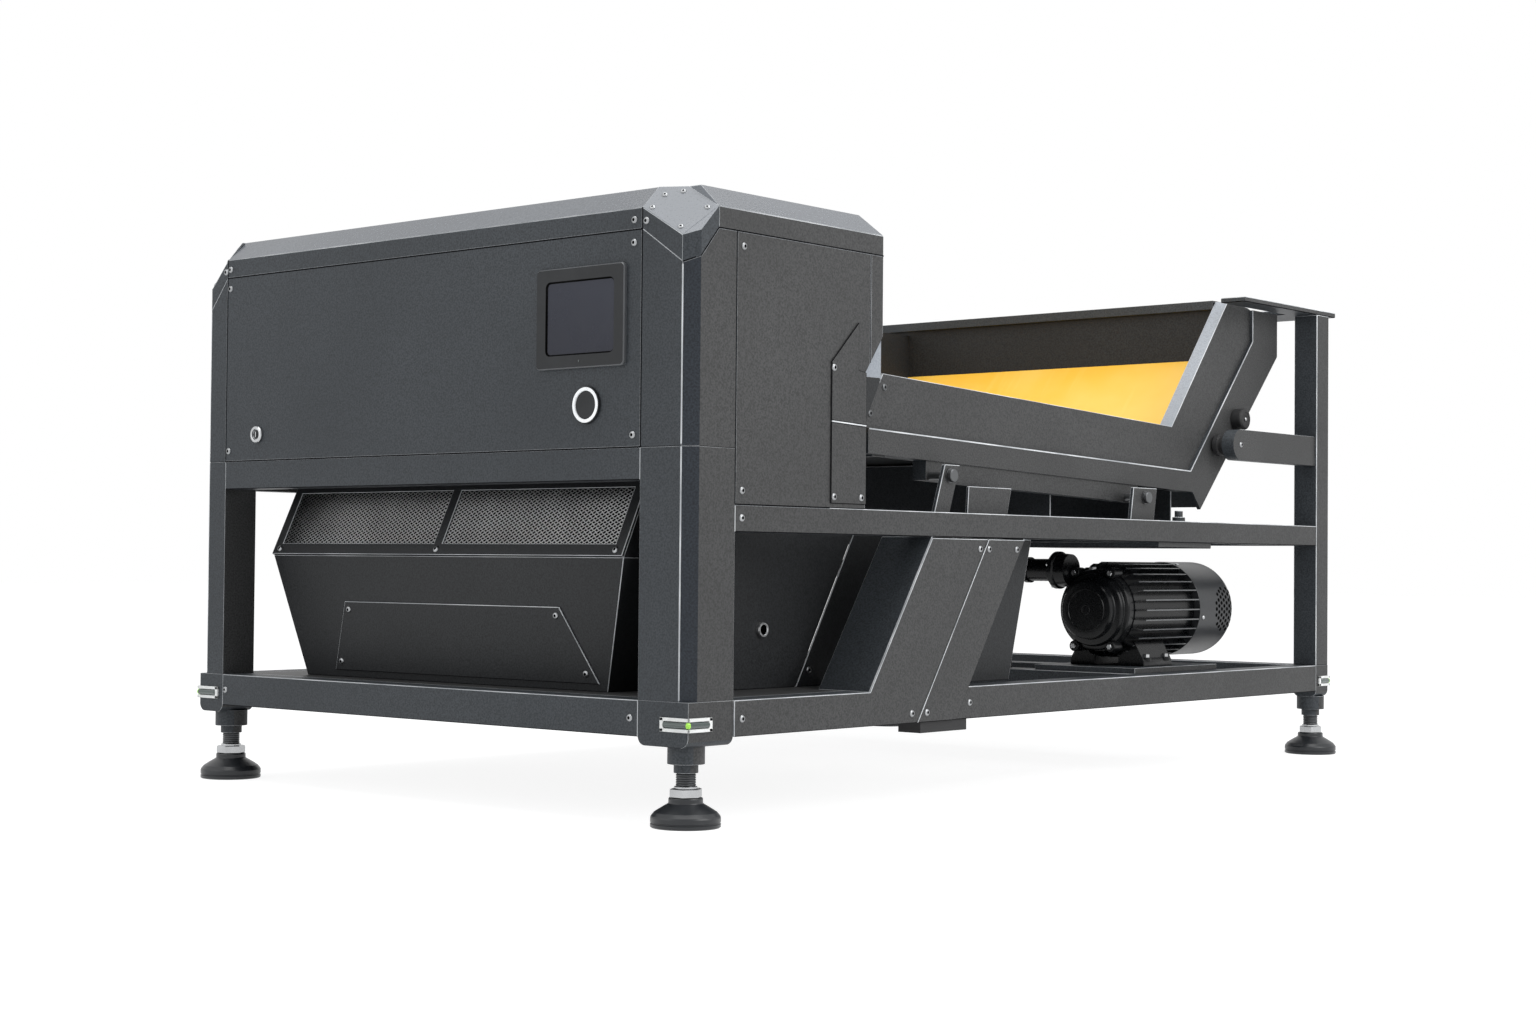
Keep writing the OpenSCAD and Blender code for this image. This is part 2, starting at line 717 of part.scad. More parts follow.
module cabin_rear_panel() color(charcoal) placed() {
    slab(xl(sheet), xr(sheet))
        polygon([[cabin_d - sheet, cut_high_z], [cabin_d, cut_high_z], [cabin_d, bevel_z],
            [cabin_d - sheet, bevel_z]]);
    slab(xl(2 * sheet + 1), xr(2 * sheet + 1))
        polygon(band([[cabin_d, cut_high_z], [cut_y, cut_low_z]], -sheet));
    // cheeks beside the mouth of the trough
    pair() slab(xr(2 * sheet), xr(sheet))
        polygon([[cut_y - 14, cut_low_z - 105], [cut_y - 4, cut_low_z - 105], [cabin_d - 1, cut_low_z - 9],
            [cut_y - 14, cut_low_z - 9]]);
}

// Screen, start button and key switch
glass_x = screen_x + (screen_w - glass_w) / 2;
glass_z = screen_z + (screen_h - glass_h) / 2;

module screen_bezel() color(black) placed() difference() {
    union() {
        box([screen_x, -5, screen_z], [screen_x + screen_w, 0, screen_z + screen_h]);
        box([screen_x + lip, -1, screen_z + lip], [screen_x + screen_w - lip, 40, screen_z + screen_h - lip]);
    }
    box([glass_x, -6, glass_z], [glass_x + glass_w, -2, glass_z + glass_h]);
}

module screen_glass() color([0.1, 0.12, 0.13]) placed()
    box([glass_x, -4.5, glass_z], [glass_x + glass_w, -2, glass_z + glass_h]);

module button_ring() color(white) placed() difference() {
    union() {
        bar_y(xr(ring_in), ring_z, ring_d / 2, -6, 0);
        bar_y(xr(ring_in), ring_z, ring_d / 2 - 4, -1, 40);
    }
    bar_y(xr(ring_in), ring_z, button_d / 2 + fit, -7, 32);
}

module start_button() color(black) placed() bar_y(xr(ring_in), ring_z, button_d / 2, -4, 20);

module key_switch() color(silver) placed() difference() {
    union() {
        bar_y(xl(key_in), key_z, key_d / 2, -7, -0.5);
        bar_y(xl(key_in), key_z, key_d / 2 - 5, -1, 30);
    }
    bar_y(xl(key_in), key_z, 8, -8, -3);
    box([xl(key_in) - 1.5, -4, key_z - 6], [xl(key_in) + 1.5, 6, key_z + 6]);
}

// Rear end of the frame
module pivot_rails() color(charcoal) placed() pair() slab(xr(35), xr(5)) {
    translate([knuckle_y, knuckle_z]) circle(knuckle_r);
    translate([knuckle_y, knuckle_z - knuckle_r]) square([rear_y - knuckle_y, 2 * knuckle_r]);
}

module support_buffers() color(rubber) placed() pair()
    bar_x([knuckle_y, knuckle_z], 25, xr(trough_in - beam_proud - gap), xr(35));

module rear_shelf() color(charcoal) placed() {
    box([-half_w, arm_back_y + 20, shelf_z], [half_w, frame_l + shelf_over, shelf_z + shelf_t]);
    pair() box([xr(62), arm_back_y - 288, shelf_z], [half_w, arm_back_y + 21, shelf_z + shelf_t]);
}

// Infeed trough
module trough_wall() {
    slab(xr(trough_in + wall_t), xr(trough_in))
        polygon([wall_front_low, wall_front_top, wall_inner_low, wall_inner_top,
            [arm_slot_y - 10, wall_inner_top[1] - 8], [arm_slot_y + 20, arm_top_z - 4],
            [arm_slot_y + 20, arm_knee_z + 8], [slot_y + 8, ledge_rear_z - 25],
            [trough_y + 2, ledge_front_z - 40]]);
    slab(xr(trough_in + flange_w), xr(trough_in))
        polygon(band([wall_front_top, wall_inner_low, wall_inner_top], -wall_t));
}

module trough_walls() color(grey) placed() pair() trough_wall();

module trough_beam() {
    face = trough_in - beam_proud;
    slab(xr(trough_in), xr(face))
        polygon([[trough_y, ledge_front_z - beam_h], [beam_end_y, ledge_rear_z - beam_h], [tip_y, tip_z],
            [arm_back_y, arm_knee_z], [arm_back_y, arm_top_z], [arm_slot_y, arm_top_z],
            [arm_slot_y, arm_knee_z + 28], [slot_y, ledge_rear_z], [trough_y, ledge_front_z]]);
    slab(xr(trough_in + flange_w), xr(trough_in))
        polygon(band([[trough_y, ledge_front_z - beam_h], [beam_end_y, ledge_rear_z - beam_h]], wall_t));
    // channel under the beam that takes the bracket bolts
    slab(xr(trough_in + 28), xr(trough_in - 4))
        polygon(band([[front_bolt_y - 12, ledge_at(front_bolt_y - 12) - beam_h],
            [rear_bolt_y + 50, ledge_at(rear_bolt_y + 50) - beam_h]], -38));
}

module trough_beams() color(charcoal) placed() {
    pair() trough_beam();
    inner = trough_in + wall_t;
    // cross beams under the pan, and the rim of the rear wall
    tube_x([xl(inner), trough_y + 27, ledge_front_z - 52], [xr(inner), trough_y + 67, ledge_front_z - 13]);
    tube_x([xl(inner), cross_y - 50, cross_low], [xr(inner), cross_y, cross_z]);
    slab(xl(trough_in), xr(trough_in))
        polygon([[tip_y - 30, ledge_rear_z - beam_h + 2], [tip_y, tip_z + 5],
            [tip_y + 32, ledge_rear_z - beam_h + 2], [tip_y + 32, ledge_rear_z - 26],
            [tip_y - 30, ledge_rear_z - 26]]);
    tube_x([xl(trough_in + flange_w), pan_top[0] - 12, pan_top[1]],
        [xr(trough_in + flange_w), pan_top[0] + 20, pan_top[1] + 20]);
}

module trough_pan() color(grey) placed() slab(xl(trough_in + wall_t), xr(trough_in + wall_t))
    polygon(band([pan_front, pan_foot, pan_knee, pan_top], -wall_t));

module trough_liner() color(yellow) placed() {
    slab(xl(lane_in), xr(trough_in + wall_t)) polygon(band([pan_front, pan_foot, pan_knee], sheet));
    slab(xl(trough_in + wall_t), xl(lane_in - 4)) polygon(band([pan_front, pan_foot, pan_knee], sheet));
}

module trough_divider() color(grey) placed() slab(xl(lane_in - 4), xl(lane_in))
    polygon([[trough_y + 27, pan_at(trough_y + 27)], pan_foot, pan_knee, pan_top - [0, 10],
        pan_top - [150, 10], wall_front_top + [70, 3], wall_front_top + [10, -3]]);

bush_y = arm_back_y - 200;
bush_z = 792;

module trough_bushes() color(rubber) placed() pair()
    bar_x([bush_y, bush_z], 20, xr(trough_in - beam_proud), xr(44));

module trough_bolts() color(silver) placed() pair() {
    for (y = [front_bolt_y, rear_bolt_y]) {
        z = ledge_at(y) - beam_h - 30;
        bar_x([y, z], bolt_r, xr(trough_in - 4), xr(16));
        bar_x([y, z], 13, xr(27), xr(16));
    }
    for (p = [wall_front_top + [4, -26], wall_front_low + [16, 8]])
        bar_x(p, 7, xr(trough_in), xr(trough_in - 3));
}

module trough_brackets() color(charcoal) placed() pair() {
    slab(xr(36), xr(28)) {
        difference() {
            polygon([[front_bolt_y - 48, mid_top], [front_bolt_y + 1, mid_top],
                [front_bolt_y + 34, mid_top + 93], [front_bolt_y - 15, mid_top + 93]]);
            translate([front_bolt_y, ledge_at(front_bolt_y) - beam_h - 30]) circle(bolt_r + bolt_gap);
        }
        difference() {
            polygon([[rear_bolt_y - 57, mid_top], [rear_bolt_y + 38, mid_top],
                [rear_bolt_y + 50, mid_top + 70], [rear_bolt_y - 45, mid_top + 70]]);
            translate([rear_bolt_y, ledge_at(rear_bolt_y) - beam_h - 30]) circle(bolt_r + bolt_gap);
        }
    }
    slab(xr(46), xr(40))
        polygon([[front_bolt_y + 77, mid_top], [front_bolt_y + 213, mid_top],
            [front_bolt_y + 228, mid_top + 54], [front_bolt_y + 81, mid_top + 54]]);
    translate([xr(32), rear_bolt_y + 150, mid_top]) {
        cylinder(r = 14, h = 10);
        cylinder(r = 9, h = 24);
    }
}

// Drive
motor_x = xr(motor_in);
gear_x = motor_x - motor_r + 11;
base_z = rail_top + base_t;

module fin(a) translate([motor_x, 0, motor_z]) rotate([0, a, 0])
    box([-2, motor_body_y, 80], [2, motor_end_y, motor_r]);

module motor_body() color(black) placed() difference() {
    union() {
        bar_y(motor_x, motor_z, motor_r - 15, motor_body_y, motor_end_y);
        for (i = [0:23]) fin(i * 15);
        box([motor_x - 96, motor_body_y + 30, base_z], [motor_x + 96, motor_body_y + 150, motor_z - 70]);
    }
    bar_y(motor_x, motor_z, 62, motor_body_y - 1, motor_end_y - 12);
    bar_y(motor_x, motor_z, rotor_r + fit, motor_body_y - 1, motor_end_y + 1);
}

module motor_shield() color(black) placed() difference() {
    union() {
        bar_y(motor_x, motor_z, motor_r - 17, motor_y + 34, motor_body_y);
        bar_y(motor_x, motor_z, motor_r - 27, motor_y + 20, motor_y + 35);
        bar_y(motor_x, motor_z, 65, motor_y, motor_y + 21);
        for (a = [30, 150, 210, 330])
            bar_y(motor_x + (motor_r - 13) * sin(a), motor_z + (motor_r - 13) * cos(a), 12,
                motor_y + 28, motor_body_y);
        // housing of the gears
        intersection() {
            bar_x([crank_y, crank_z], 42, gear_x, motor_x - 40);
            box([gear_x, crank_y - 50, crank_z - 50], [motor_x, motor_body_y, crank_z + 50]);
        }
    }
    bar_y(motor_x, motor_z, rotor_r + fit, motor_y + 28, motor_body_y + 1);
}

module cowl_outline(i) {
    square([motor_r + 1 - i, cowl_l - 35]);
    square([motor_r - 34, cowl_l - i]);
    translate([motor_r - 34, cowl_l - 35]) circle(35 - i);
}

module motor_cowl() color(grey) placed() translate([motor_x, motor_end_y, motor_z]) difference() {
    rotate([-90, 0, 0]) rotate_extrude() intersection() {
        difference() {
            cowl_outline(0);
            translate([0, -1]) cowl_outline(sheet);
            square([motor_r - 2, 2]);
        }
        square([200, 200]);
    }
    for (k = [1:3]) for (i = [0:k * 7 - 1])
        rotate([0, i * 360 / (k * 7), 0]) bar_y(k * 20 + 2, 0, 5, cowl_l - 15, cowl_l + 15);
}

module drive_mounts() color(charcoal) placed() {
    box([motor_x - 135, crank_y - 25, rail_top], [xr(rail_d), motor_body_y + 300, base_z]);
    for (x = [xr(pedestal_in), xl(pedestal_far_in + 12)])
        slab(x - 12, x) difference() {
            translate([crank_y - 30, rail_top]) square([60, crank_z + 35 - rail_top]);
            translate([crank_y, crank_z]) circle(shaft_r + fit);
        }
}

module gear_tube() color(black) placed() difference() {
    union() {
        bar_x([crank_y, crank_z], 30, gear_x - 10, gear_x);
        bar_x([crank_y, crank_z], 25, gear_x - 128, gear_x - 9);
        bar_x([crank_y, crank_z], 29, gear_x - 78, gear_x - 68);
    }
    bar_x([crank_y, crank_z], shaft_r + 1, gear_x - 130, gear_x - 5);
}

module rotor_fan() color(grey) placed() {
    bar_y(motor_x, motor_z, rotor_r, motor_y + 32, motor_end_y + 46);
    bar_y(motor_x, motor_z, 61, motor_body_y + 30, motor_end_y - 40);
    bar_y(motor_x, motor_z, 80, motor_end_y + 40, motor_end_y + 46);
    for (i = [0:6]) translate([motor_x, 0, motor_z]) rotate([0, i * 360 / 7, 0])
        box([-2, motor_end_y + 10, 30], [2, motor_end_y + 41, 78]);
}

module crank_shaft() color(silver) placed() {
    bar_x([crank_y, crank_z], shaft_r, xl(pedestal_far_in - 8), gear_x - 6);
    for (x = [xr(rod_in), xl(rod_far_in)])
        bar_x([crank_y, crank_z + crank_throw], 30, x - 10, x + 10);
}

// Rods from the eccentrics to the cross beam; the ring's play lets the stroke pass
module drive_rods() color(charcoal) placed() for (x = [xr(rod_in), xl(rod_far_in)])
    slab(x - 8, x + 8) difference() {
        union() {
            translate([crank_y, crank_z]) circle(rod_ring_r + 12);
            polygon([[crank_y - 46, crank_z + 4], [crank_y - 8, crank_z + 46], [cross_y - 5, cross_low - 16],
                [cross_y - 5, cross_low], [cross_y - 45, cross_low], [cross_y - 45, cross_low - 16]]);
        }
        translate([crank_y, crank_z]) circle(rod_ring_r);
    }

// Optics, chute and air
module feed_chute() color(silver) placed() translate([0, chute_y, chute_z]) rotate([45, 0, 0])
    linear_extrude(4) {
        l = chute_drop * sqrt(2);
        n = (chute_y - hop_back_y - 20) * sqrt(2);
        polygon([[xl(trough_in + 4), 0], [xr(trough_in + 4), 0], [xr(hop_right + sheet), -n],
            [xr(hop_right + sheet), -l], [xl(hop_left + sheet), -l], [xl(hop_left + sheet), -n]]);
    }

module cameras() color(black) placed() {
    tube_x([xl(sheet), camera_y, camera_z], [xr(sheet), camera_y + 50, camera_z + 50]);
    for (x = [-frame_w, frame_w] * 2 / 9) {
        box([x - 45, camera_y - 20, camera_z - 130], [x + 45, camera_y + 70, camera_z]);
        translate([x, camera_y + 25, camera_z - 185]) cylinder(r = 30, h = 56);
    }
}

module light_bars() color(white) placed() {
    box([xl(sheet), camera_y + 86, hood_z + 90], [xr(sheet), camera_y + 126, hood_z + 115]);
    box([xl(sheet), cut_y - 56, cut_low_z - 37], [xr(sheet), cut_y - 16, cut_low_z - 12]);
}

module ejector_bar() color(silver) placed()
    box([xl(hop_left + sheet), hop_back_y - sheet - 46, ridge_z + 7],
        [xr(hop_right + sheet), hop_back_y - sheet, ridge_z + 48]);

module air_manifold() color(silver) placed() {
    x0 = xl(hop_left + 40);
    x1 = xr(bay_right + sheet);
    difference() {
        union() {
            bar_x([air_y, air_z], 30, x0, x1);
            // foot on the back of the discharge box
            box([x0 + 60, hop_back_y, air_z - 10], [x0 + 80, air_y, air_z + 10]);
        }
        bar_x([air_y, air_z], 26, x0 + 4, x1 - 4);
        bar_x([air_y, air_z], 10, x1 - 5, xr(bay_right));
    }
}

module splitter() color(silver) placed() {
    out = hop_taper * (ridge_z - splitter_z) / (ridge_z - rail_top) - 17;
    bar_x([splitter_y, splitter_z], splitter_r, xl(hop_left + out), xr(hop_right + out));
    box([xl(hop_left + hop_taper - 10), splitter_y - 2, splitter_z + 4],
        [xr(hop_right + hop_taper - 10), splitter_y + 2, splitter_z + 110]);
    slab(xr(hop_right + out), xr(hop_right + out - 6)) {
        translate([splitter_y, splitter_z]) circle(14);
        translate([splitter_y - 7, splitter_z - 60]) square([14, 60]);
    }
}

module control_box() color(grey) placed() difference() {
    box([xl(155), cabin_d - sheet - 110, fascia_z - 135], [xl(535), cabin_d - sheet, fascia_z - 5]);
    box([xl(158), cabin_d - sheet - 107, fascia_z - 132], [xl(532), cabin_d, fascia_z - 8]);
}

// Button-head screws
module screw(r = 6.5) cylinder(r = r, h = 2.5);
module front_screw(x, z, y = 0) translate([x, y, z]) rotate([90, 0, 0]) screw();
module side_screw(y, z, x = half_w) translate([x, y, z]) rotate([0, 90, 0]) screw();

module cap_screws(w) {
    a = cap_rise(w, cap_drop);
    b = cap_back(w, cap_drop);
    for (p = [[0.83 * w, 34], [0.62 * w, 54], [0.87 * w, 8], [0.14 * w, 54], [0.3 * w, 8]])
        translate([-p[0], p[1], cap_tip_z + a * (p[0] - post_chamfer) + b * p[1]])
            rotate([0, acos(1 / norm([a, -b, 1])), atan2(-b, a)]) translate([0, 0, 0.05]) screw(5);
    front_screw(-0.92 * w, fascia_z + 13);
    translate([cap_side(54, 0), 54, fascia_z + 15]) rotate([0, 90, -atan2(post_chamfer, cap_d)])
        translate([0, 0, 0.05]) screw();
}

module cabin_screws(rail, foot, shield) {
    for (z = [rail + 24, foot + 24, fascia_z - 25]) side_screw(post_d + 18, z);
    for (p = [[cut_y - 96, cut_low_z + 2], [cut_y - 94, shield + 20], [cut_y - 15, shield + 20]])
        side_screw(p[0], p[1], half_w + sheet);
}

module panel_screws() color(silver) placed() {
    cabin_screws(mid_z, mid_top, mid_top);
    mirror([1, 0, 0]) cabin_screws(header_z, cabin_z, header_z);
    for (x = [xl(slim_w + 9), xr(post_w + 19)])
        for (z = [cabin_z + 21, fascia_z - 22, fascia_z + 17, rail_z + 31]) front_screw(x, z);
    right_corner() cap_screws(post_w);
    left_corner() cap_screws(slim_w);
    pair() {
        for (p = [[post_d + 20, rail_z + 30], [seam_y - 17, rail_z + 18], [seam_y + 30, rail_z + 18],
            [seam_y + 200, mid_z - 22], [seam_y + 230, mid_z - 22], [seam_y + 325, mid_z - 22]])
            side_screw(p[0], p[1], half_w + sheet);
        side_screw(seam_y + 172, rail_z + 31);
        side_screw(knuckle_y, knuckle_z, xr(5));
    }
    side_screw(bay_seam_y + 40, rail_top + 31, xr(bay_right));
    on_hood() translate([0, 12, 6]) for (x = [hood_x0 + 20, hood_x0 + hood_w / 2, hood_x0 + hood_w - 20])
        translate([x, 0, 0]) screw();
    on_front_plate() for (p = [[xl(cover_left + 22), 32], [xr(cover_right + 32), 32],
        [xr(cover_right + 96), 137], [xl(cover_left + 60), 137]])
        translate([p[0], p[1], sheet]) screw();
}

foot_blocks();
spirit_levels();
foot_front_right();
foot_front_left();
foot_rear_right();
foot_rear_left();
front_posts();
rear_posts();
bottom_rails();
mid_rails();
base_plate();
brace_columns();
brace_plates();
centre_pads();
lower_side_panels();
air_inlet();
discharge_hopper();
discharge_hood();
grille_frame();
grille_mesh();
access_cover();
front_panel();
fascias();
corner_caps();
roof_cover();
cabin_side_panels();
side_shields();
cabin_rear_panel();
screen_bezel();
screen_glass();
button_ring();
start_button();
key_switch();
pivot_rails();
support_buffers();
rear_shelf();
trough_walls();
trough_beams();
trough_pan();
trough_liner();
trough_divider();
trough_bushes();
trough_bolts();
trough_brackets();
motor_body();
motor_shield();
motor_cowl();
drive_mounts();
gear_tube();
rotor_fan();
crank_shaft();
drive_rods();
feed_chute();
cameras();
light_bars();
ejector_bar();
air_manifold();
splitter();
control_box();
panel_screws();
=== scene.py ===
"""Looks of the optical colour sorter: its finishes, small parts and studio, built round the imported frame.

Sizes in fields and profiles are millimetres, and at() turns them into points of the shared frame. The boxes of facets
and the places of lamps and camera are metres.
"""

import json
import logging
import math
from dataclasses import dataclass, field
from enum import Enum
from typing import Any, Sequence

import bmesh
import bpy
import numpy as np
from mathutils import Matrix, Vector


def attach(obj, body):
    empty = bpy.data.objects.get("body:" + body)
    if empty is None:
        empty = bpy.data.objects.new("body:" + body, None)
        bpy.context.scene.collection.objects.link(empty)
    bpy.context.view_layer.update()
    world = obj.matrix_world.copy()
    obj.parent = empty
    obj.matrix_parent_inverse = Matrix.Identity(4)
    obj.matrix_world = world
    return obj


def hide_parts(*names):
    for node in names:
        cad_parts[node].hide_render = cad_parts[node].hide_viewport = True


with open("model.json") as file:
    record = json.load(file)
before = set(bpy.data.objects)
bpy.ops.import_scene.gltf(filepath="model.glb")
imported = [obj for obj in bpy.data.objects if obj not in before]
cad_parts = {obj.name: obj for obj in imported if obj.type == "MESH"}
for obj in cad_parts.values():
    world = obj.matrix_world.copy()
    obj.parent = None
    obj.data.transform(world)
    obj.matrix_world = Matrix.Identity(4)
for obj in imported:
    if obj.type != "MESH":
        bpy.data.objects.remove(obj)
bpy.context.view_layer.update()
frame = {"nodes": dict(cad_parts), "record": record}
LOG = logging.getLogger("sorter")
MM = 0.001
HALF_W = 675.0
FRONT_Y = -1154.0
FLAT_AREA = 0.004  # square metres past which a face is shaded flat
STRIP_SUNK = 0.4  # millimetres of a strip under the face it lies on
WELD, FINE_WELD = 2e-6, 1e-6  # metres within which points are one
FLAT_ANGLE = 0.4  # degrees within which faces are one
SCATTER_SHARP = 35.0  # degrees past which an edge of a scattered piece stays sharp
AHEAD, BACKWARD = Vector((0, -1, 0)), Vector((0, 1, 0))
RIGHT, UP = Vector((1, 0, 0)), Vector((0, 0, 1))
Colour = tuple[float, float, float]
Point2 = tuple[float, float]
Point3 = tuple[float, float, float]
Line = tuple[float, float, float, float]
Seat = tuple[Vector, Vector, float]


def at(across: float, back: float, up: float) -> Vector:
    """A point of the machine in metres.

    Args:
        across: Millimetres from the middle, towards the motor side.
        back: Millimetres behind the front face.
        up: Millimetres above the floor.

    Returns:
        The point in the shared frame.
    """
    return Vector((across, FRONT_Y + back, up)) * MM


def inset(distance: float) -> float:
    """Millimetres from the middle of a point that lies inside the motor-side face."""
    return HALF_W - distance


class Sock:
    """A socket that takes part in arithmetic, adding Math nodes."""

    def __init__(self, graph: "Graph", socket: bpy.types.NodeSocket) -> None:
        """Wraps an output socket of a graph."""
        self.graph = graph
        self.socket = socket

    def _math(self, operation: str, first: Any, second: Any) -> "Sock":
        """Adds one Math node.

        Args:
            operation: The node's operation.
            first: Value or socket of the first input.
            second: Value or socket of the second input.

        Returns:
            The node's result.
        """
        made = self.graph.node("ShaderNodeMath", {"operation": operation}, {0: first, 1: second})
        return Sock(self.graph, made.outputs[0])

    def __add__(self, other: Any) -> "Sock":
        """Sum."""
        return self._math("ADD", self, other)

    def __radd__(self, other: Any) -> "Sock":
        """Sum, reflected."""
        return self._math("ADD", other, self)

    def __sub__(self, other: Any) -> "Sock":
        """Difference."""
        return self._math("SUBTRACT", self, other)

    def __rsub__(self, other: Any) -> "Sock":
        """Difference, reflected."""
        return self._math("SUBTRACT", other, self)

    def __mul__(self, other: Any) -> "Sock":
        """Product."""
        return self._math("MULTIPLY", self, other)

    def __rmul__(self, other: Any) -> "Sock":
        """Product, reflected."""
        return self._math("MULTIPLY", other, self)


class Graph:
    """A node tree under construction."""

    def __init__(self, tree: bpy.types.NodeTree) -> None:
        """Takes the tree to fill."""
        self.tree = tree

    def node(self, kind: str, settings: dict[str, Any] | None = None,
             inputs: dict[Any, Any] | None = None) -> bpy.types.Node:
        """Adds a node.

        Args:
            kind: The node's type.
            settings: Properties, set first.
            inputs: Values or links of its sockets, by name or number.

        Returns:
            The new node.
        """
        made = self.tree.nodes.new(kind)
        for key, value in (settings or {}).items():
            setattr(made, key, value)
        for key, value in (inputs or {}).items():
            self.feed(made.inputs[key], value)
        return made

    def feed(self, socket: bpy.types.NodeSocket, value: Any) -> None:
        """Links or sets one input socket.

        Args:
            socket: The input.
            value: A Sock, an output socket or a plain value.
        """
        if isinstance(value, Sock):
            self.tree.links.new(value.socket, socket)
        elif isinstance(value, bpy.types.NodeSocket):
            self.tree.links.new(value, socket)
        else:
            socket.default_value = value


class Paint(Graph):
    """A material under construction, ending in one Principled shader."""

    def __init__(self, name: str) -> None:
        """Makes the material with its shader and Object coordinates."""
        self.material = bpy.data.materials.new(name)
        self.material.use_nodes = True
        self.material.node_tree.nodes.clear()
        super().__init__(self.material.node_tree)
        self.shader = self.node("ShaderNodeBsdfPrincipled")
        self.node("ShaderNodeOutputMaterial", None, {"Surface": self.shader.outputs[0]})
        self.place = Sock(self, self.node("ShaderNodeTexCoord").outputs["Object"])

    def stretched(self, scale: Point3) -> Sock:
        """Object coordinates, stretched."""
        made = self.node("ShaderNodeMapping", None, {"Vector": self.place, "Scale": scale})
        return Sock(self, made.outputs[0])

    def noise(self, scale: float, detail: float = 2.0, where: Sock | None = None) -> Sock:
        """A noise pattern.

        Args:
            scale: Size of the pattern, per metre.
            detail: Octaves.
            where: Coordinates, by default the object's.

        Returns:
            The pattern from 0 to 1.
        """
        made = self.node("ShaderNodeTexNoise", None,
                         {"Vector": where or self.place, "Scale": scale, "Detail": detail})
        return Sock(self, made.outputs[0])

    def blend(self, share: Any, first: Any, second: Any) -> Sock:
        """Mixes two colours.

        Args:
            share: Share of the second colour.
            first: Colour or socket at share 0.
            second: Colour or socket at share 1.

        Returns:
            The mixed colour.
        """
        def full(colour: Any) -> Any:
            """A colour with its alpha, or a socket as it is."""
            return (*colour, 1.0) if isinstance(colour, tuple) else colour
        made = self.node("ShaderNodeMix", {"data_type": "RGBA"}, {0: share, 6: full(first), 7: full(second)})
        return Sock(self, made.outputs[2])

    def ramp(self, value: Sock, low: float, high: float) -> Sock:
        """The value, spread so that low gives 0 and high gives 1."""
        made = self.node("ShaderNodeMapRange", {"clamp": True}, {0: value, 1: low, 2: high, 3: 0.0, 4: 1.0})
        return Sock(self, made.outputs[0])

    def relief(self, height: Sock, depth: float, strength: float = 1.0) -> None:
        """Bumps the surface.

        Args:
            height: The pattern.
            depth: Its depth in metres.
            strength: Share of it that shows.
        """
        made = self.node("ShaderNodeBump", None, {"Height": height, "Distance": depth, "Strength": strength})
        self.feed(self.shader.inputs["Normal"], made.outputs[0])

    def set(self, **values: Any) -> None:
        """Sets or links shader inputs, named with _ for a space."""
        for key, value in values.items():
            if isinstance(value, tuple) and len(value) == 3:
                value = (*value, 1.0)
            self.feed(self.shader.inputs[key.replace("_", " ")], value)


@dataclass(frozen=True)
class PowderCoat:
    """Fine-texture powder coat: a pebbled grain with a slow cloud in tone."""

    name: str
    tint: Colour
    light: float = 1.25
    rough: float = 0.5
    grain: float = 300.0
    gloss: float = 0.25
    pit: float = 0.6
    grit: float = 0.5

    def material(self) -> bpy.types.Material:
        """Builds the coat."""
        paint = Paint(self.name)
        cloud = paint.ramp(paint.noise(3.1, 3.0), 0.3, 0.7)
        grain = paint.noise(self.grain, 3.0)
        dark = tuple(self.pit * c for c in self.tint)
        pale = tuple(self.light * c for c in self.tint)
        tone = paint.blend(cloud, self.tint, pale)
        pits = paint.ramp(grain, 0.34, 0.62)
        paint.set(Base_Color=paint.blend(pits, dark, tone),
                  Roughness=self.rough - 0.06 + 0.16 * grain - 0.05 * cloud,
                  Specular_IOR_Level=self.gloss)
        paint.relief(grain, 0.0008, self.grit)
        return paint.material


@dataclass(frozen=True)
class PaintedEdgeHighlight:
    """A painted highlight along a rounded edge: pale and smoother, stronger in places."""

    name: str
    tint: Colour
    # The pale colour of the painted highlight.
    bare: Colour = (0.8, 0.82, 0.84)

    def material(self) -> bpy.types.Material:
        """Builds the painted edge highlight."""
        paint = Paint(self.name)
        # Painted highlight: noise mixes in the pale colour, which is smoother where it is paler.
        wear = paint.ramp(paint.noise(9.0, 4.0), 0.36, 0.66)
        paint.set(Base_Color=paint.blend(wear, self.tint, self.bare),
                  Roughness=0.42 - 0.12 * wear)
        return paint.material


@dataclass(frozen=True)
class Brushed:
    """Bare metal with a directional brush mark."""

    name: str
    tint: Colour
    rough: float = 0.3
    along: Point3 = (12.0, 400.0, 400.0)

    def material(self) -> bpy.types.Material:
        """Builds the metal."""
        paint = Paint(self.name)
        marks = paint.noise(1.0, 3.0, paint.stretched(self.along))
        stain = paint.ramp(paint.noise(14.0, 3.0), 0.35, 0.75)
        dull = tuple(0.72 * c for c in self.tint)
        paint.set(Base_Color=paint.blend(stain, self.tint, dull), Metallic=1.0,
                  Roughness=self.rough - 0.08 + 0.2 * marks)
        paint.relief(marks, 0.0002, 0.3)
        return paint.material


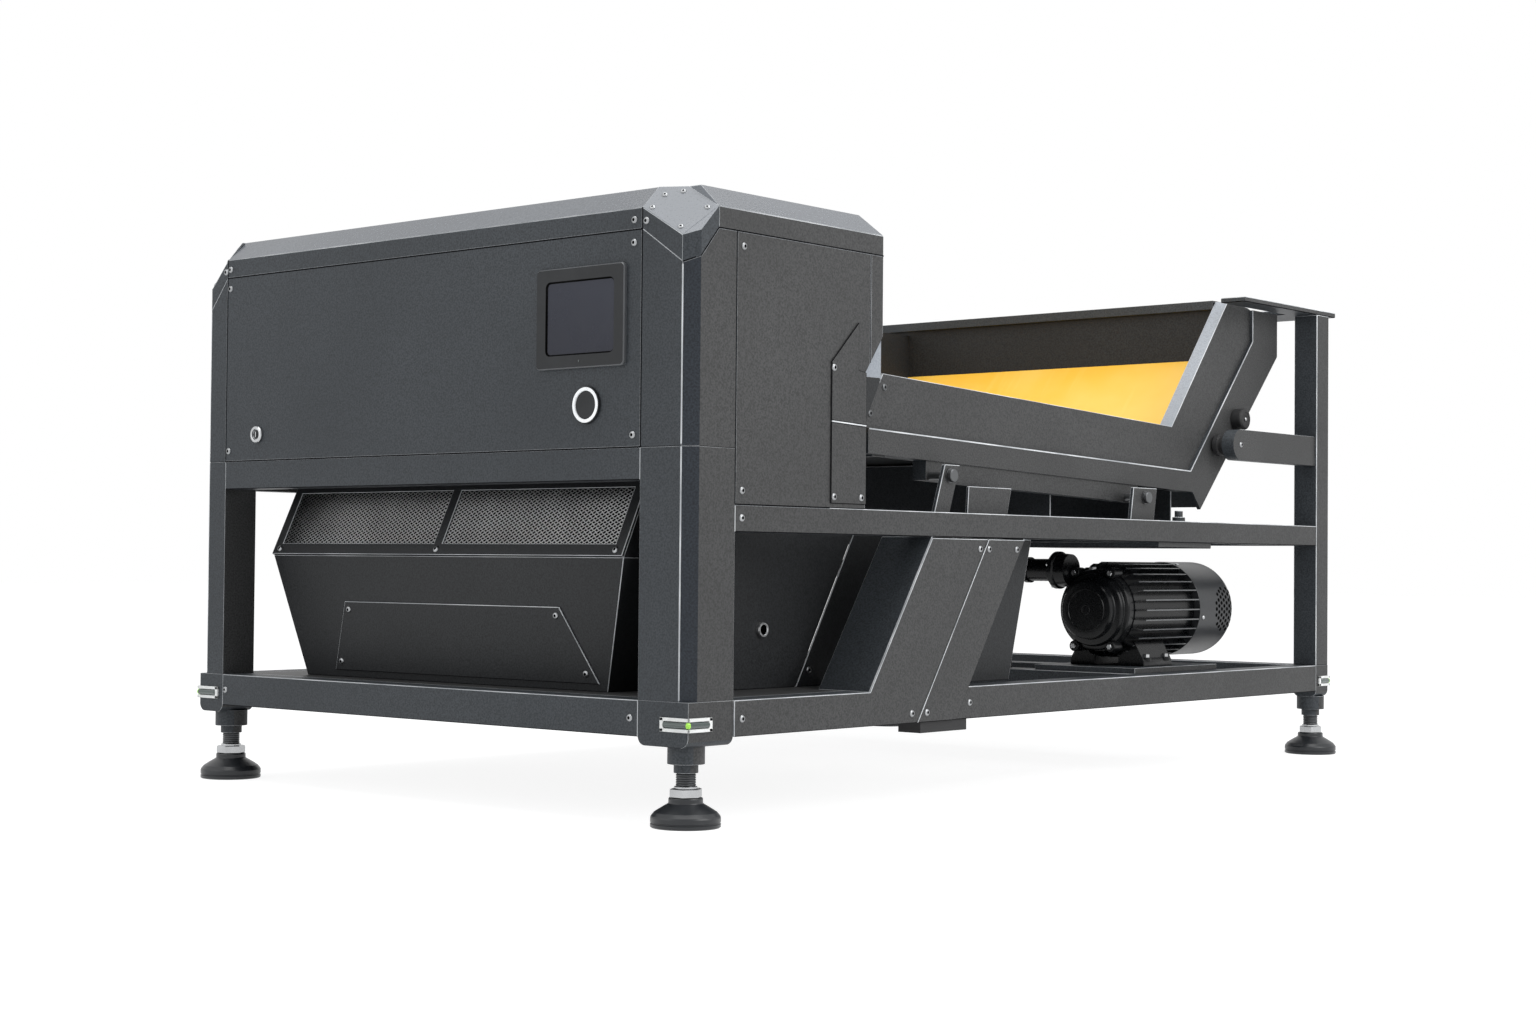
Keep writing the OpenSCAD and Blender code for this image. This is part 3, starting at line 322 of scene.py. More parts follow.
@dataclass(frozen=True)
class Moulded:
    """Moulded plastic or rubber with a fine spark-eroded skin."""

    name: str
    tint: Colour
    rough: float = 0.45
    grain: float = 700.0
    depth: float = 0.0002
    coat: float = 0.0
    glow: float = 0.0
    gloss: float = 0.5

    def material(self) -> bpy.types.Material:
        """Builds the moulding."""
        paint = Paint(self.name)
        skin = paint.noise(self.grain, 2.0)
        rubbed = paint.ramp(paint.noise(16.0, 4.0), 0.45, 0.75)
        pale = tuple(min(1.0, 1.18 * c + 0.006) for c in self.tint)
        paint.set(Base_Color=paint.blend(rubbed, self.tint, pale),
                  Roughness=self.rough + 0.14 * skin - 0.07 + 0.06 * rubbed, Specular_IOR_Level=self.gloss)
        if self.coat:
            paint.set(Coat_Weight=self.coat)
        if self.glow:
            paint.set(Emission_Color=self.tint, Emission_Strength=self.glow)
        paint.relief(skin, self.depth, 0.35)
        return paint.material


@dataclass(frozen=True)
class WearLining:
    """Yellow wear lining: even colour, faint flow scuffs along the trough."""

    name: str
    tint: Colour
    scuff: Colour

    def material(self) -> bpy.types.Material:
        """Builds the lining."""
        paint = Paint(self.name)
        flow = paint.ramp(paint.noise(1.0, 4.0, paint.stretched((42.0, 2.2, 5.0))), 0.56, 0.8)
        cloud = paint.ramp(paint.noise(4.0, 3.0), 0.4, 0.7)
        paint.set(Base_Color=paint.blend(0.3 * flow + 0.5 * cloud, self.tint, self.scuff),
                  Roughness=0.42 + 0.16 * flow)
        paint.relief(paint.noise(300.0, 2.0), 0.0002, 0.25)
        return paint.material


@dataclass(frozen=True)
class DarkGlass:
    """Dark screen glass with a soft sheen across it."""

    name: str
    low: Colour
    high: Colour

    def material(self) -> bpy.types.Material:
        """Builds the glass."""
        paint = Paint(self.name)
        split = paint.node("ShaderNodeSeparateXYZ", None, {0: paint.place})
        # Painted sheen: the glass grows paler towards the top and to the right.
        rise = paint.ramp(Sock(paint, split.outputs[2]) + 0.25 * Sock(paint, split.outputs[0]), 0.9, 1.06)
        smear = paint.ramp(paint.noise(22.0, 4.0), 0.45, 0.8)
        paint.set(Base_Color=paint.blend(rise, self.low, self.high), Roughness=0.22 + 0.12 * smear,
                  Specular_IOR_Level=0.22)
        return paint.material


class Finish(Enum):
    """The machine's finishes."""

    CHARCOAL = PowderCoat("charcoal_coat", (0.050, 0.0565, 0.0635))
    GREY = PowderCoat("grey_coat", (0.058, 0.0585, 0.059))
    # Painted shade: the post chamfers are darker and bluer than the charcoal front.
    CHAMFER = PowderCoat("chamfer_painted_shade", (0.026, 0.031, 0.039), rough=0.55)
    # Painted shade: a darker copy of the charcoal for faces and parts that lie in shade.
    DARK = PowderCoat("painted_shade_dark", (0.024, 0.0255, 0.0275), rough=0.5)
    # Painted highlight: a paler copy of the charcoal for the roof's upward slopes.
    ROOF = PowderCoat("roof_painted_highlight", (0.105, 0.115, 0.13), rough=0.26, gloss=0.7, pit=0.9, grit=0.1)
    # Painted highlight: a paler copy of the charcoal for the caps' upward faces.
    CAP = PowderCoat("cap_painted_highlight", (0.15, 0.165, 0.187), rough=0.28, gloss=0.6, pit=0.9, grit=0.1)
    # Painted highlight on rounded edges that face the light.
    EDGE = PaintedEdgeHighlight("painted_edge_highlight", (0.4, 0.42, 0.44))
    # Painted highlight: a pale copy of the grey for lips that face the light.
    LIP = PowderCoat("lip_painted_highlight", (0.31, 0.335, 0.37), rough=0.36, pit=0.9, grit=0.1)
    GLINT = PowderCoat("seam_glint", (0.2, 0.21, 0.22), rough=0.4)
    SEAM = Moulded("seam_shadow", (0.004, 0.004, 0.005), rough=0.8, gloss=0.04)
    STEEL = Brushed("brushed_steel", (0.4, 0.41, 0.42))
    CHROME = Brushed("plated_steel", (0.52, 0.53, 0.54), rough=0.26, along=(60.0, 60.0, 60.0))
    BRIGHT = Brushed("polished_steel", (0.86, 0.87, 0.88), rough=0.34, along=(80.0, 80.0, 80.0))
    THREAD = Brushed("oiled_thread", (0.15, 0.155, 0.16), rough=0.42, along=(90.0, 90.0, 500.0))
    MESH = Brushed("mesh_steel", (0.42, 0.425, 0.43), rough=0.3, along=(60.0, 200.0, 60.0))
    RUBBER = Moulded("black_rubber", (0.012, 0.012, 0.013), rough=0.62, grain=500.0)
    BLACK = Moulded("satin_black", (0.016, 0.0175, 0.0195), rough=0.4, gloss=0.26)
    # Painted highlight: a paler copy of the black for the bezel's outer rim.
    BEZEL = Moulded("bezel_rim_highlight", (0.1, 0.105, 0.112), rough=0.3)
    PAD = Moulded("foot_black", (0.014, 0.016, 0.019), rough=0.34)
    WHITE = Moulded("white_moulding", (0.83, 0.84, 0.83), rough=0.35)
    RING = Moulded("lit_ring", (0.86, 0.88, 0.9), rough=0.3, glow=0.25)
    LINING = WearLining("yellow_lining", (0.93, 0.50, 0.018), (0.95, 0.66, 0.16))
    SCREEN = DarkGlass("screen_glass_dark", (0.019, 0.021, 0.033), (0.03, 0.0335, 0.05))
    VIAL = Moulded("vial_teal", (0.022, 0.045, 0.04), rough=0.12, coat=0.8, grain=60.0)
    # The bubble's emission is a painted glow.
    BUBBLE = Moulded("bubble_green", (0.33, 0.72, 0.05), rough=0.18, coat=0.5, glow=0.15)
    MOTOR = Moulded("motor_enamel", (0.0035, 0.004, 0.0048), rough=0.26, grain=260.0, depth=0.0001, gloss=0.24)
    # Painted highlight: a pale finish for the lit tops of the fins.
    FIN = Moulded("fin_tip_highlight", (0.12, 0.125, 0.13), rough=0.3)
    COWL = PowderCoat("cowl_enamel", (0.034, 0.036, 0.039), rough=0.34, gloss=0.35, pit=0.8, grit=0.2)
    # Painted shade: near black for holes, sockets and dark recesses.
    HOLE = Moulded("hole_painted_shade", (0.002, 0.002, 0.002), rough=0.9, gloss=0.03)

    def paint(self) -> bpy.types.Material:
        """The finish's material, made once."""
        return bpy.data.materials.get(self.value.name) or self.value.material()


NODE_BODY = {node: body for body, nodes in frame["record"]["behaviour"]["bodies"].items() for node in nodes}


def settle(obj: bpy.types.Object, body: str, replaced: Sequence[str] = (),
           sharp: float = 16.0) -> None:
    """Shades a finished piece, hangs it on its body and logs it.

    Args:
        obj: The piece.
        body: The body that carries it.
        replaced: CAD nodes that it stands for.
        sharp: Angle in degrees past which an edge stays sharp.
    """
    obj.data.shade_smooth()
    obj.data.set_sharp_from_angle(angle=math.radians(sharp))
    for polygon in obj.data.polygons:
        if polygon.area > FLAT_AREA:
            polygon.use_smooth = False
    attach(obj, body)
    if replaced:
        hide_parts(*replaced)
    LOG.info("%s: %d faces on %s", obj.name, len(obj.data.polygons), body)


def round_edges(bm: bmesh.types.BMesh, edges: Sequence[bmesh.types.BMEdge], radius: float,
                number: int = -1) -> None:
    """Rounds edges of a mesh.

    Args:
        bm: The mesh.
        edges: Its edges to round.
        radius: Their rounding in millimetres.
        number: Finish number of the rounded faces, or -1 to keep their neighbours'.
    """
    bmesh.ops.bevel(bm, geom=edges, offset=radius * MM, offset_type="OFFSET", segments=2, profile=0.5,
                    affect="EDGES", clamp_overlap=True, material=number)


def link(name: str, data: bpy.types.ID) -> bpy.types.Object:
    """Puts a mesh, lamp or camera into the scene as an object."""
    obj = bpy.data.objects.new(name, data)
    bpy.context.scene.collection.objects.link(obj)
    return obj


def meshed(name: str, bm: bmesh.types.BMesh, finishes: Sequence[Finish] = ()) -> bpy.types.Object:
    """Turns a mesh under construction into an object.

    Args:
        name: The object's name.
        bm: The mesh, which is used up.
        finishes: Its finishes in the order of their numbers.

    Returns:
        The object.
    """
    mesh = bpy.data.meshes.new(name)
    bm.to_mesh(mesh)
    bm.free()
    for finish in finishes:
        mesh.materials.append(finish.paint())
    return link(name, mesh)


class Shape:
    """A mesh put together from turned, boxed and folded forms, each with a finish."""

    def __init__(self, name: str, *finishes: Finish) -> None:
        """Starts an empty mesh with its finishes."""
        self.name = name
        self.finishes = finishes
        self.bm = bmesh.new()

    def _take(self, part: bmesh.types.BMesh, finish: int) -> None:
        """Joins a part into the mesh.

        Args:
            part: The part, which is used up.
            finish: Number of its finish.
        """
        bmesh.ops.recalc_face_normals(part, faces=part.faces)
        for face in part.faces:
            face.material_index = finish
        held = bpy.data.meshes.new("held")
        part.to_mesh(held)
        part.free()
        self.bm.from_mesh(held)
        bpy.data.meshes.remove(held)

    def turned(self, profile: Sequence[Point2], centre: Vector, axis: Vector, finish: int = 0,
               steps: int = 48) -> None:
        """Adds a turned form.

        Args:
            profile: Radius and height pairs in millimetres, from end to end; a ring ends where it starts.
            centre: Foot of the axis in metres.
            axis: Direction of the axis.
            finish: Number of its finish.
            steps: Sides of the turning.
        """
        part = bmesh.new()
        turn = axis.to_track_quat("Z", "Y").to_matrix()
        rings = []
        for radius, height in profile:
            count = 1 if radius < 1e-6 else steps
            ring = []
            for k in range(count):
                angle = math.tau * k / steps
                spot = Vector((radius * math.cos(angle), radius * math.sin(angle), height)) * MM
                ring.append(part.verts.new(centre + turn @ spot))
            rings.append(ring)
        is_ring = tuple(profile[0]) == tuple(profile[-1])
        if is_ring:
            bmesh.ops.delete(part, geom=rings[-1], context="VERTS")
            rings[-1] = rings[0]
        for low, high in zip(rings, rings[1:]):
            for k in range(steps):
                a, b = low[k % len(low)], low[(k + 1) % len(low)]
                c, d = high[(k + 1) % len(high)], high[k % len(high)]
                corners = list(dict.fromkeys((a, b, c, d)))
                if len(corners) > 2:
                    part.faces.new(corners)
        for ring in () if is_ring else (rings[0], rings[-1]):
            if len(ring) > 1:
                part.faces.new(ring)
        self._take(part, finish)

    def boxed(self, low: Vector, high: Vector, finish: int = 0, bevel: float = 0.0,
              turn: Matrix | None = None) -> None:
        """Adds a box.

        Args:
            low: Lowest corner in metres.
            high: Highest corner in metres.
            finish: Number of its finish.
            bevel: Rounding of its edges in millimetres.
            turn: Placing of the box, if it isn't square to the frame.
        """
        part = bmesh.new()
        bmesh.ops.create_cube(part, size=1.0)
        middle = (low + high) / 2
        for vert in part.verts:
            vert.co = middle + Vector(c * s for c, s in zip(vert.co, high - low))
        if bevel:
            round_edges(part, part.edges[:], bevel)
        if turn:
            part.transform(turn)
        self._take(part, finish)

    def folded(self, outline: Sequence[Vector], depth: Vector, finish: int = 0, bevel: float = 0.0) -> None:
        """Adds a flat outline drawn out in a straight line.

        Args:
            outline: Points of the outline in metres.
            depth: Way and distance of the drawing out.
            finish: Number of its finish.
            bevel: Rounding of its edges in millimetres.
        """
        part = bmesh.new()
        foot = [part.verts.new(p) for p in outline]
        head = [part.verts.new(p + depth) for p in outline]
        part.faces.new(foot)
        part.faces.new(head[::-1])
        for k in range(len(foot)):
            n = (k + 1) % len(foot)
            part.faces.new((foot[k], head[k], head[n], foot[n]))
        if bevel:
            round_edges(part, part.edges[:], bevel)
        self._take(part, finish)

    def strip(self, start: Vector, end: Vector, out: Vector, width: float, proud: float, finish: int = 0) -> None:
        """Adds a flat strip that lies on a face.

        Args:
            start: One end of its middle line in metres.
            end: The other end.
            out: Direction that the face looks in.
            width: Its width in millimetres.
            proud: How far it stands out in millimetres.
            finish: Number of its finish.
        """
        across = (end - start).cross(out).normalized() * width * MM / 2
        sunk = out.normalized() * STRIP_SUNK * MM
        outline = [start + across - sunk, end + across - sunk, end - across - sunk, start - across - sunk]
        self.folded(outline, out.normalized() * (proud + STRIP_SUNK) * MM, finish)

    def lofted(self, loops: Sequence[Sequence[Vector]], finishes: Sequence[int]) -> None:
        """Adds a closed ring of bands between loops of equal count, the last one back to the first.

        Args:
            loops: Points of each loop in metres.
            finishes: Number of each band's finish.
        """
        rows = [[self.bm.verts.new(p) for p in loop] for loop in loops]
        faces = []
        for row, after, finish in zip(rows, rows[1:] + rows[:1], finishes):
            for k in range(len(row)):
                n = (k + 1) % len(row)
                face = self.bm.faces.new((row[k], row[n], after[n], after[k]))
                face.material_index = finish
                faces.append(face)
        bmesh.ops.recalc_face_normals(self.bm, faces=faces)

    def put(self, body: str, slot: str, *replaced: str) -> None:
        """Makes the piece and hangs it on its body.

        Args:
            body: The body that carries it.
            slot: The record's material slot; not used.
            replaced: CAD nodes that it stands for.
        """
        settle(meshed(self.name, self.bm, self.finishes), body, replaced)

    def small(self) -> bpy.types.Object:
        """The bare mesh for a pattern to repeat, to be removed afterwards."""
        return meshed(self.name, self.bm)


class Pattern(Graph):
    """A Geometry Nodes tree that repeats one small mesh and gives back a plain mesh."""

    def __init__(self, name: str) -> None:
        """Starts a tree with its input and output."""
        super().__init__(bpy.data.node_groups.new(name, "GeometryNodeTree"))
        self.tree.interface.new_socket("Geometry", in_out="INPUT", socket_type="NodeSocketGeometry")
        self.tree.interface.new_socket("Geometry", in_out="OUTPUT", socket_type="NodeSocketGeometry")
        self.given = self.node("NodeGroupInput")
        self.result = self.node("NodeGroupOutput")
        self.values: dict[str, Any] = {}

    def size(self, name: str, kind: str, value: Any) -> bpy.types.NodeSocket:
        """Adds a named input.

        Args:
            name: The input's name.
            kind: Its socket type.
            value: Its value on this piece.

        Returns:
            The socket to link from.
        """
        made = self.tree.interface.new_socket(name, in_out="INPUT", socket_type=kind)
        self.values[made.identifier] = value
        return self.given.outputs[name]

    def close(self, instances: bpy.types.NodeSocket, finish: Finish) -> None:
        """Ends the tree: real geometry with its finish.

        Args:
            instances: The repeated pieces.
            finish: Their finish.
        """
        real = self.node("GeometryNodeRealizeInstances", None, {"Geometry": instances})
        dressed = self.node("GeometryNodeSetMaterial", None,
                            {"Geometry": real.outputs[0], "Material": finish.paint()})
        self.feed(self.result.inputs[0], dressed.outputs[0])

    def grow(self, name: str, points: Sequence[Vector], attributes: dict[str, tuple[str, Sequence[Any]]],
             place: Matrix) -> bpy.types.Object:
        """Runs the tree and turns its result into a plain piece.

        Args:
            name: The piece's name.
            points: Points that the tree is given.
            attributes: Values on those points, as kind and list.
            place: Placing of the result.

        Returns:
            The piece, with its place in its mesh.
        """
        seed = bpy.data.meshes.new(name + "_seed")
        seed.from_pydata([tuple(p) for p in points], [], [])
        for key, (kind, values) in attributes.items():
            layer = seed.attributes.new(key, kind, "POINT")
            for item, value in zip(layer.data, values):
                if kind == "FLOAT_VECTOR":
                    item.vector = value
                else:
                    item.value = value
        host = link(name + "_host", seed)
        modifier = host.modifiers.new("pattern", "NODES")
        modifier.node_group = self.tree
        for key, value in self.values.items():
            modifier[key] = value
        made = host.evaluated_get(bpy.context.evaluated_depsgraph_get())
        mesh = bpy.data.meshes.new_from_object(made)
        mesh.name = name
        mesh.transform(place)
        host.modifiers.remove(modifier)
        bpy.data.objects.remove(host)
        bpy.data.meshes.remove(seed)
        return link(name, mesh)


def scatter(name: str, item: Shape, finish: Finish, seats: Sequence[Seat],
            replaced: Sequence[str] = ()) -> None:
    """Sets one small mesh on every seat, upright on the seat's axis.

    Args:
        name: The piece's name.
        item: The small mesh.
        finish: Its finish.
        seats: Seat, outward axis and scale of each copy.
        replaced: CAD nodes that the piece stands for.
    """
    proto = item.small()
    tree = Pattern(name)
    held = tree.node("GeometryNodeObjectInfo", None, {"Object": tree.size("Item", "NodeSocketObject", proto)})
    axis = tree.node("GeometryNodeInputNamedAttribute", {"data_type": "FLOAT_VECTOR"}, {"Name": "axis"})
    size = tree.node("GeometryNodeInputNamedAttribute", {"data_type": "FLOAT"}, {"Name": "size"})
    turn = tree.node("FunctionNodeAlignRotationToVector", {"axis": "Z"}, {"Vector": axis.outputs["Attribute"]})
    laid = tree.node("GeometryNodeInstanceOnPoints", None, {
        "Points": tree.given.outputs["Geometry"], "Instance": held.outputs["Geometry"],
        "Rotation": turn.outputs[0], "Scale": size.outputs["Attribute"]})
    tree.close(laid.outputs[0], finish)
    spots, axes, sizes = zip(*seats)
    piece = tree.grow(name, spots, {"axis": ("FLOAT_VECTOR", axes), "size": ("FLOAT", sizes)}, Matrix.Identity(4))
    bpy.data.objects.remove(proto)
    settle(piece, "frame", replaced, SCATTER_SHARP)


@dataclass(frozen=True)
class Facet:
    """Faces of a rounded piece that take another finish, picked by their direction and place."""

    finish: Finish
    facing: Point3 | None = None
    low: Point3 = (-9.0, -9.0, -9.0)
    high: Point3 = (9.0, 9.0, 9.0)
    least: float = 0.96
    both: bool = True

    def holds(self, normal: Vector, middle: Vector) -> bool:
        """Whether a face is one of them; for both sides X is read from the middle outwards."""
        if self.facing and normal.dot(Vector(self.facing).normalized()) < self.least:
            return False
        place = (abs(middle.x) if self.both else middle.x, middle.y, middle.z)
        return all(a <= v <= b for a, v, b in zip(self.low, place, self.high))


@dataclass
class Rounding:
    """How a CAD node's folded edges are rounded and dressed.

    A face's finish number says what it is: flat, rounded, rounded away from the light, a side of the machine, or from
    FIRST_FACET on one of the facets.
    """

    FLAT, ROUNDED, SHADED, SIDE, FIRST_FACET = range(5)

    node: str
    finish: Finish
    radius: float = 0.9
    shortest: float = 0.0
    angle: float = 30.0
    # Painted highlight: the finish of rounded faces that face the light.
    edge: Finish = Finish.EDGE
    # Painted shade: the finish of rounded faces turned away from the light.
    shaded_edge: Finish = Finish.SEAM
    # Painted difference of light: flat side faces of charcoal pieces take the neutral grey, while the front keeps the
    # bluer charcoal.
    side: Finish = Finish.GREY
    facets: tuple[Facet, ...] = ()
    light: Point3 = (0.5, -0.5, 0.7)
    least_light: float = 0.2
    least_side: float = 0.9

    def build(self) -> None:
        """Makes a copy of the node with rounded edges, pale to the light and dark away from it."""
        source = frame["nodes"][self.node]
        bm = bmesh.new()
        bm.from_mesh(source.data)
        bm.transform(source.matrix_world)
        bmesh.ops.remove_doubles(bm, verts=bm.verts, dist=WELD)
        bmesh.ops.dissolve_limit(bm, angle_limit=math.radians(FLAT_ANGLE), use_dissolve_boundaries=False,
                                 verts=bm.verts, edges=bm.edges, delimit=set())
        for face in bm.faces:
            face.material_index = self.FLAT
        limit = math.radians(self.angle)
        edges = [e for e in bm.edges if e.is_manifold and e.calc_face_angle_signed(0.0) > limit
                 and e.calc_length() >= self.shortest * MM]
        round_edges(bm, edges, self.radius, self.ROUNDED)
        bmesh.ops.remove_doubles(bm, verts=bm.verts, dist=FINE_WELD)
        bm.normal_update()
        self.dress(bm)
        finishes = (self.finish, self.edge, self.shaded_edge, self.side, *(f.finish for f in self.facets))
        obj = meshed(self.node + "_dressed", bm, finishes)
        slot = next(p["material_slot"] for p in frame["record"]["subparts"] if p["node"] == self.node)
        settle(obj, NODE_BODY[self.node], (self.node,))

    def dress(self, bm: bmesh.types.BMesh) -> None:
        """Numbers the finish of each face.

        Args:
            bm: The rounded mesh, its flat and its rounded faces numbered.
        """
        light = Vector(self.light)
        has_sides = self.finish is Finish.CHARCOAL
        for face in bm.faces:
            number = face.material_index
            # Rounded faces turned away from the light take the painted shade.
            if number == self.ROUNDED and face.normal.dot(light) < self.least_light:
                face.material_index = self.SHADED
            # Flat sideways faces of charcoal pieces: a painted difference of light between front and sides.
            elif number == self.FLAT and has_sides and abs(face.normal.x) > self.least_side:
                face.material_index = self.SIDE
            middle = face.calc_center_median()
            for number, facet in enumerate(self.facets, self.FIRST_FACET):
                if facet.holds(face.normal, middle):
                    face.material_index = number


def recoat(node: str, finish: Finish) -> None:
    """Gives a CAD node that keeps its own shape a finish.

    Args:
        node: The node.
        finish: Its finish.
    """
    slots = frame["nodes"][node].data.materials
    slots.clear()
    slots.append(finish.paint())
    LOG.info("%s: recoated", node)


@dataclass
class Shell:
    """The frame, cabin, discharge box and trough: folded sheet and tube with rounded edges, painted pale as a
    highlight towards the light and dark as shade away from it.
    """

    plates: float = 1.2
    posts: float = 1.8
    tubes: float = 1.9
    beams: float = 1.5
    tube_edge: float = 20.0
    charcoal_tubes: tuple[str, ...] = ("rear_posts", "bottom_rails", "mid_rails", "rear_shelf", "pivot_rails")
    charcoal_plates: tuple[str, ...] = ("front_panel", "fascias", "foot_blocks", "trough_brackets",
                                        "drive_mounts", "drive_rods")
    grey_plates: tuple[str, ...] = ("brace_plates", "cabin_side_panels", "base_plate")
    # Plates in shade, which take the painted shade dark.
    shade_painted_plates: tuple[str, ...] = ("discharge_hopper", "discharge_hood", "grille_frame", "access_cover",
                                    "lower_side_panels")
    cap_w: float = 116.0
    slim_w: float = 75.0
    cap_d: float = 66.0
    chamfer: float = 22.0
    cap_drop: float = 55.0
    cap_rim: float = 63.0
    cap_tip: float = 997.0
    cap_low: float = 952.0
    highlight_x: float = 603.0
    highlight_w: float = 2.6
    highlight_proud: float = 0.8
    ridge_w: float = 2.6
    ridge_proud: float = 0.1
    ridge_sunk: float = 0.2
    ridge_out: Point2 = (0.38, -0.92)
    cap_gap: float = 0.3
    ridge_z: tuple[Point2, ...] = ((216.0, 641.0), (646.0, 948.0))
    highlight_line: tuple[Point2, ...] = ((574.0, 701.6), (1760.0, 663.6), (2045.0, 980.0), (2045.0, 1054.0))
    # The trough pan and divider take the painted shade dark.
    plain: dict[str, Finish] = field(default_factory=lambda: {
        "trough_liner": Finish.LINING, "trough_pan": Finish.DARK, "trough_divider": Finish.DARK,
        "control_box": Finish.GREY, "feed_chute": Finish.STEEL, "cameras": Finish.BLACK,
        "light_bars": Finish.WHITE, "ejector_bar": Finish.STEEL, "air_manifold": Finish.HOLE,
        "splitter": Finish.STEEL, "crank_shaft": Finish.STEEL, "rotor_fan": Finish.THREAD,
        "centre_pads": Finish.RUBBER, "gear_tube": Finish.MOTOR})

    def build(self) -> None:
        """Rounds the folded pieces and recoats the plain ones."""
        self.frame_pieces()
        self.cabin_pieces()
        self.trough_pieces()
        self.wedges()
        self.beam_highlights()
        self.ridges()
        for node, finish in self.plain.items():
            recoat(node, finish)

    def frame_pieces(self) -> None:
        """Posts, rails, plates and the braces, their webs painted dark as shade."""
        soft = Facet(Finish.GREY, None, (0.6705, -1.1345, 0.2), (0.6755, -1.1285, 1.1))
        # Painted shade on the two chamfer faces of the front posts.
        chamfers = (Facet(Finish.CHAMFER, (0.707, -0.707, 0.0)), Facet(Finish.CHAMFER, (-0.707, -0.707, 0.0)))
        # Painted highlight on the ridge of each front post.
        ridge = Facet(Finish.EDGE, None, (0.650, -1.1545, 0.2), (0.656, -1.1515, 1.1))
        Rounding("front_posts", Finish.CHARCOAL, self.posts, self.tube_edge,
                 facets=(*chamfers, soft, ridge)).build()
        for node in self.charcoal_tubes:
            Rounding(node, Finish.CHARCOAL, self.tubes, self.tube_edge).build()
        for nodes, finish in ((self.charcoal_plates, Finish.CHARCOAL), (self.grey_plates, Finish.GREY),
                              (self.shade_painted_plates, Finish.DARK)):
            for node in nodes:
                Rounding(node, finish, self.plates).build()
        # Painted shade on the inward faces of the brace columns' webs.
        webs = (Facet(Finish.DARK, (1.0, 0.0, 0.0), (0.5, -9, 0.2), (0.605, 9, 0.6)),
                Facet(Finish.DARK, (-1.0, 0.0, 0.0), (0.5, -9, 0.2), (0.605, 9, 0.6)))
        Rounding("brace_columns", Finish.CHARCOAL, self.plates, facets=webs).build()

    def cabin_pieces(self) -> None:
        """Corner caps, roof, side shields and the panel behind them."""
        Rounding("corner_caps", Finish.CHARCOAL, self.plates,
                 facets=(self.cap_face(1.0), self.cap_face(-1.0))).build()
        # Painted highlight: the roof's slopes that look up take the paler roof finish.
        slopes = ((0.0, -0.52, 0.85), (0.52, 0.0, 0.85), (-0.52, 0.0, 0.85), (0.0, 0.7, 0.7))
        roofs = (Facet(Finish.ROOF, slope, least=0.9) for slope in slopes)
        # Painted highlight: the roof's front-facing end wall beside each cap takes the pale cap finish.
        tip = Facet(Finish.CAP, (0.0, -1.0, 0.0), (0.555, -1.09, 1.04), (0.68, -1.08, 1.1))
        Rounding("roof_cover", Finish.CHARCOAL, self.plates, facets=(*roofs, tip)).build()
        # Painted highlight on the upper lip of each side shield.
        lip = Facet(Finish.LIP, None, (0.6, -9, 0.7), (0.6724, 9, 9))
        Rounding("side_shields", Finish.GREY, self.plates, edge=Finish.SEAM, facets=(lip,)).build()
        # Painted shade on the rear panel's cheek below the cut, where the cut's shadow falls.
        cheek = Facet(Finish.DARK, None, (0.6685, -9, 0.6), (0.6725, 9, 0.792))
        Rounding("cabin_rear_panel", Finish.CHARCOAL, self.plates, facets=(cheek,)).build()

    def trough_pieces(self) -> None:
        """The trough's walls, painted dark as shade inside and pale as a highlight along the mouth, and its beams."""
        # Painted shade on the inner faces of the walls.
        inside = (Facet(Finish.DARK, (1.0, 0.0, 0.0), high=(0.0, 9.0, 9.0), both=False),
                  Facet(Finish.DARK, (-1.0, 0.0, 0.0), low=(0.0, -9.0, -9.0), both=False))
        # Painted highlight on the mouth's faces that look up and forward.
        mouth = Facet(Finish.LIP, (0.0, -0.772, 0.636))
        Rounding("trough_walls", Finish.GREY, self.plates, facets=(*inside, mouth)).build()
        Rounding("trough_beams", Finish.CHARCOAL, self.beams).build()

    def cap_slope(self, side: float, drop: float) -> Point2:
        """Rise inwards and rise backwards of a cap's plane that drops to the chamfer's front edge.

        Args:
            side: 1 on the motor side, -1 on the other.
            drop: Height of the plane over its lowest point.

        Returns:
            The two slopes.
        """
        rise = drop / ((self.cap_w if side > 0 else self.slim_w) - self.chamfer)
        return rise, (drop + self.chamfer * rise) / self.cap_d

    def cap_face(self, side: float) -> Facet:
        """The slanted face of one corner cap, painted paler as a highlight."""
        rise, back = self.cap_slope(side, self.cap_drop)
        return Facet(Finish.CAP, (side * rise, -back, 1.0))

    def wedges(self) -> None:
        """The outer corner of each cap, folded round the post's chamfer."""
        shape = Shape("cap_wedges", Finish.CHARCOAL, Finish.CAP)
        c, d, gap = self.chamfer, self.cap_d, self.cap_gap
        for side in (1.0, -1.0):
            low, high = [], []
            for across, back in ((-c - gap, -gap), (gap, c - gap), (gap, d)):
                for row, z, drop in ((low, self.cap_low, self.cap_rim), (high, self.cap_tip, self.cap_drop)):
                    rise, run = self.cap_slope(side, drop)
                    row.append(at(side * (HALF_W + across), back, z + rise * (-across - c) + run * back))
            corner = [shape.bm.verts.new(p) for p in low + high]
            faces = [shape.bm.faces.new([corner[k] for k in loop])
                     for loop in ((0, 1, 2), (3, 5, 4), (0, 3, 4, 1), (1, 4, 5, 2), (2, 5, 3, 0))]
            # Painted highlight: the wedge's top face takes the pale cap finish.
            faces[1].material_index = 1
            bmesh.ops.recalc_face_normals(shape.bm, faces=faces)
        shape.put("frame", "charcoal")

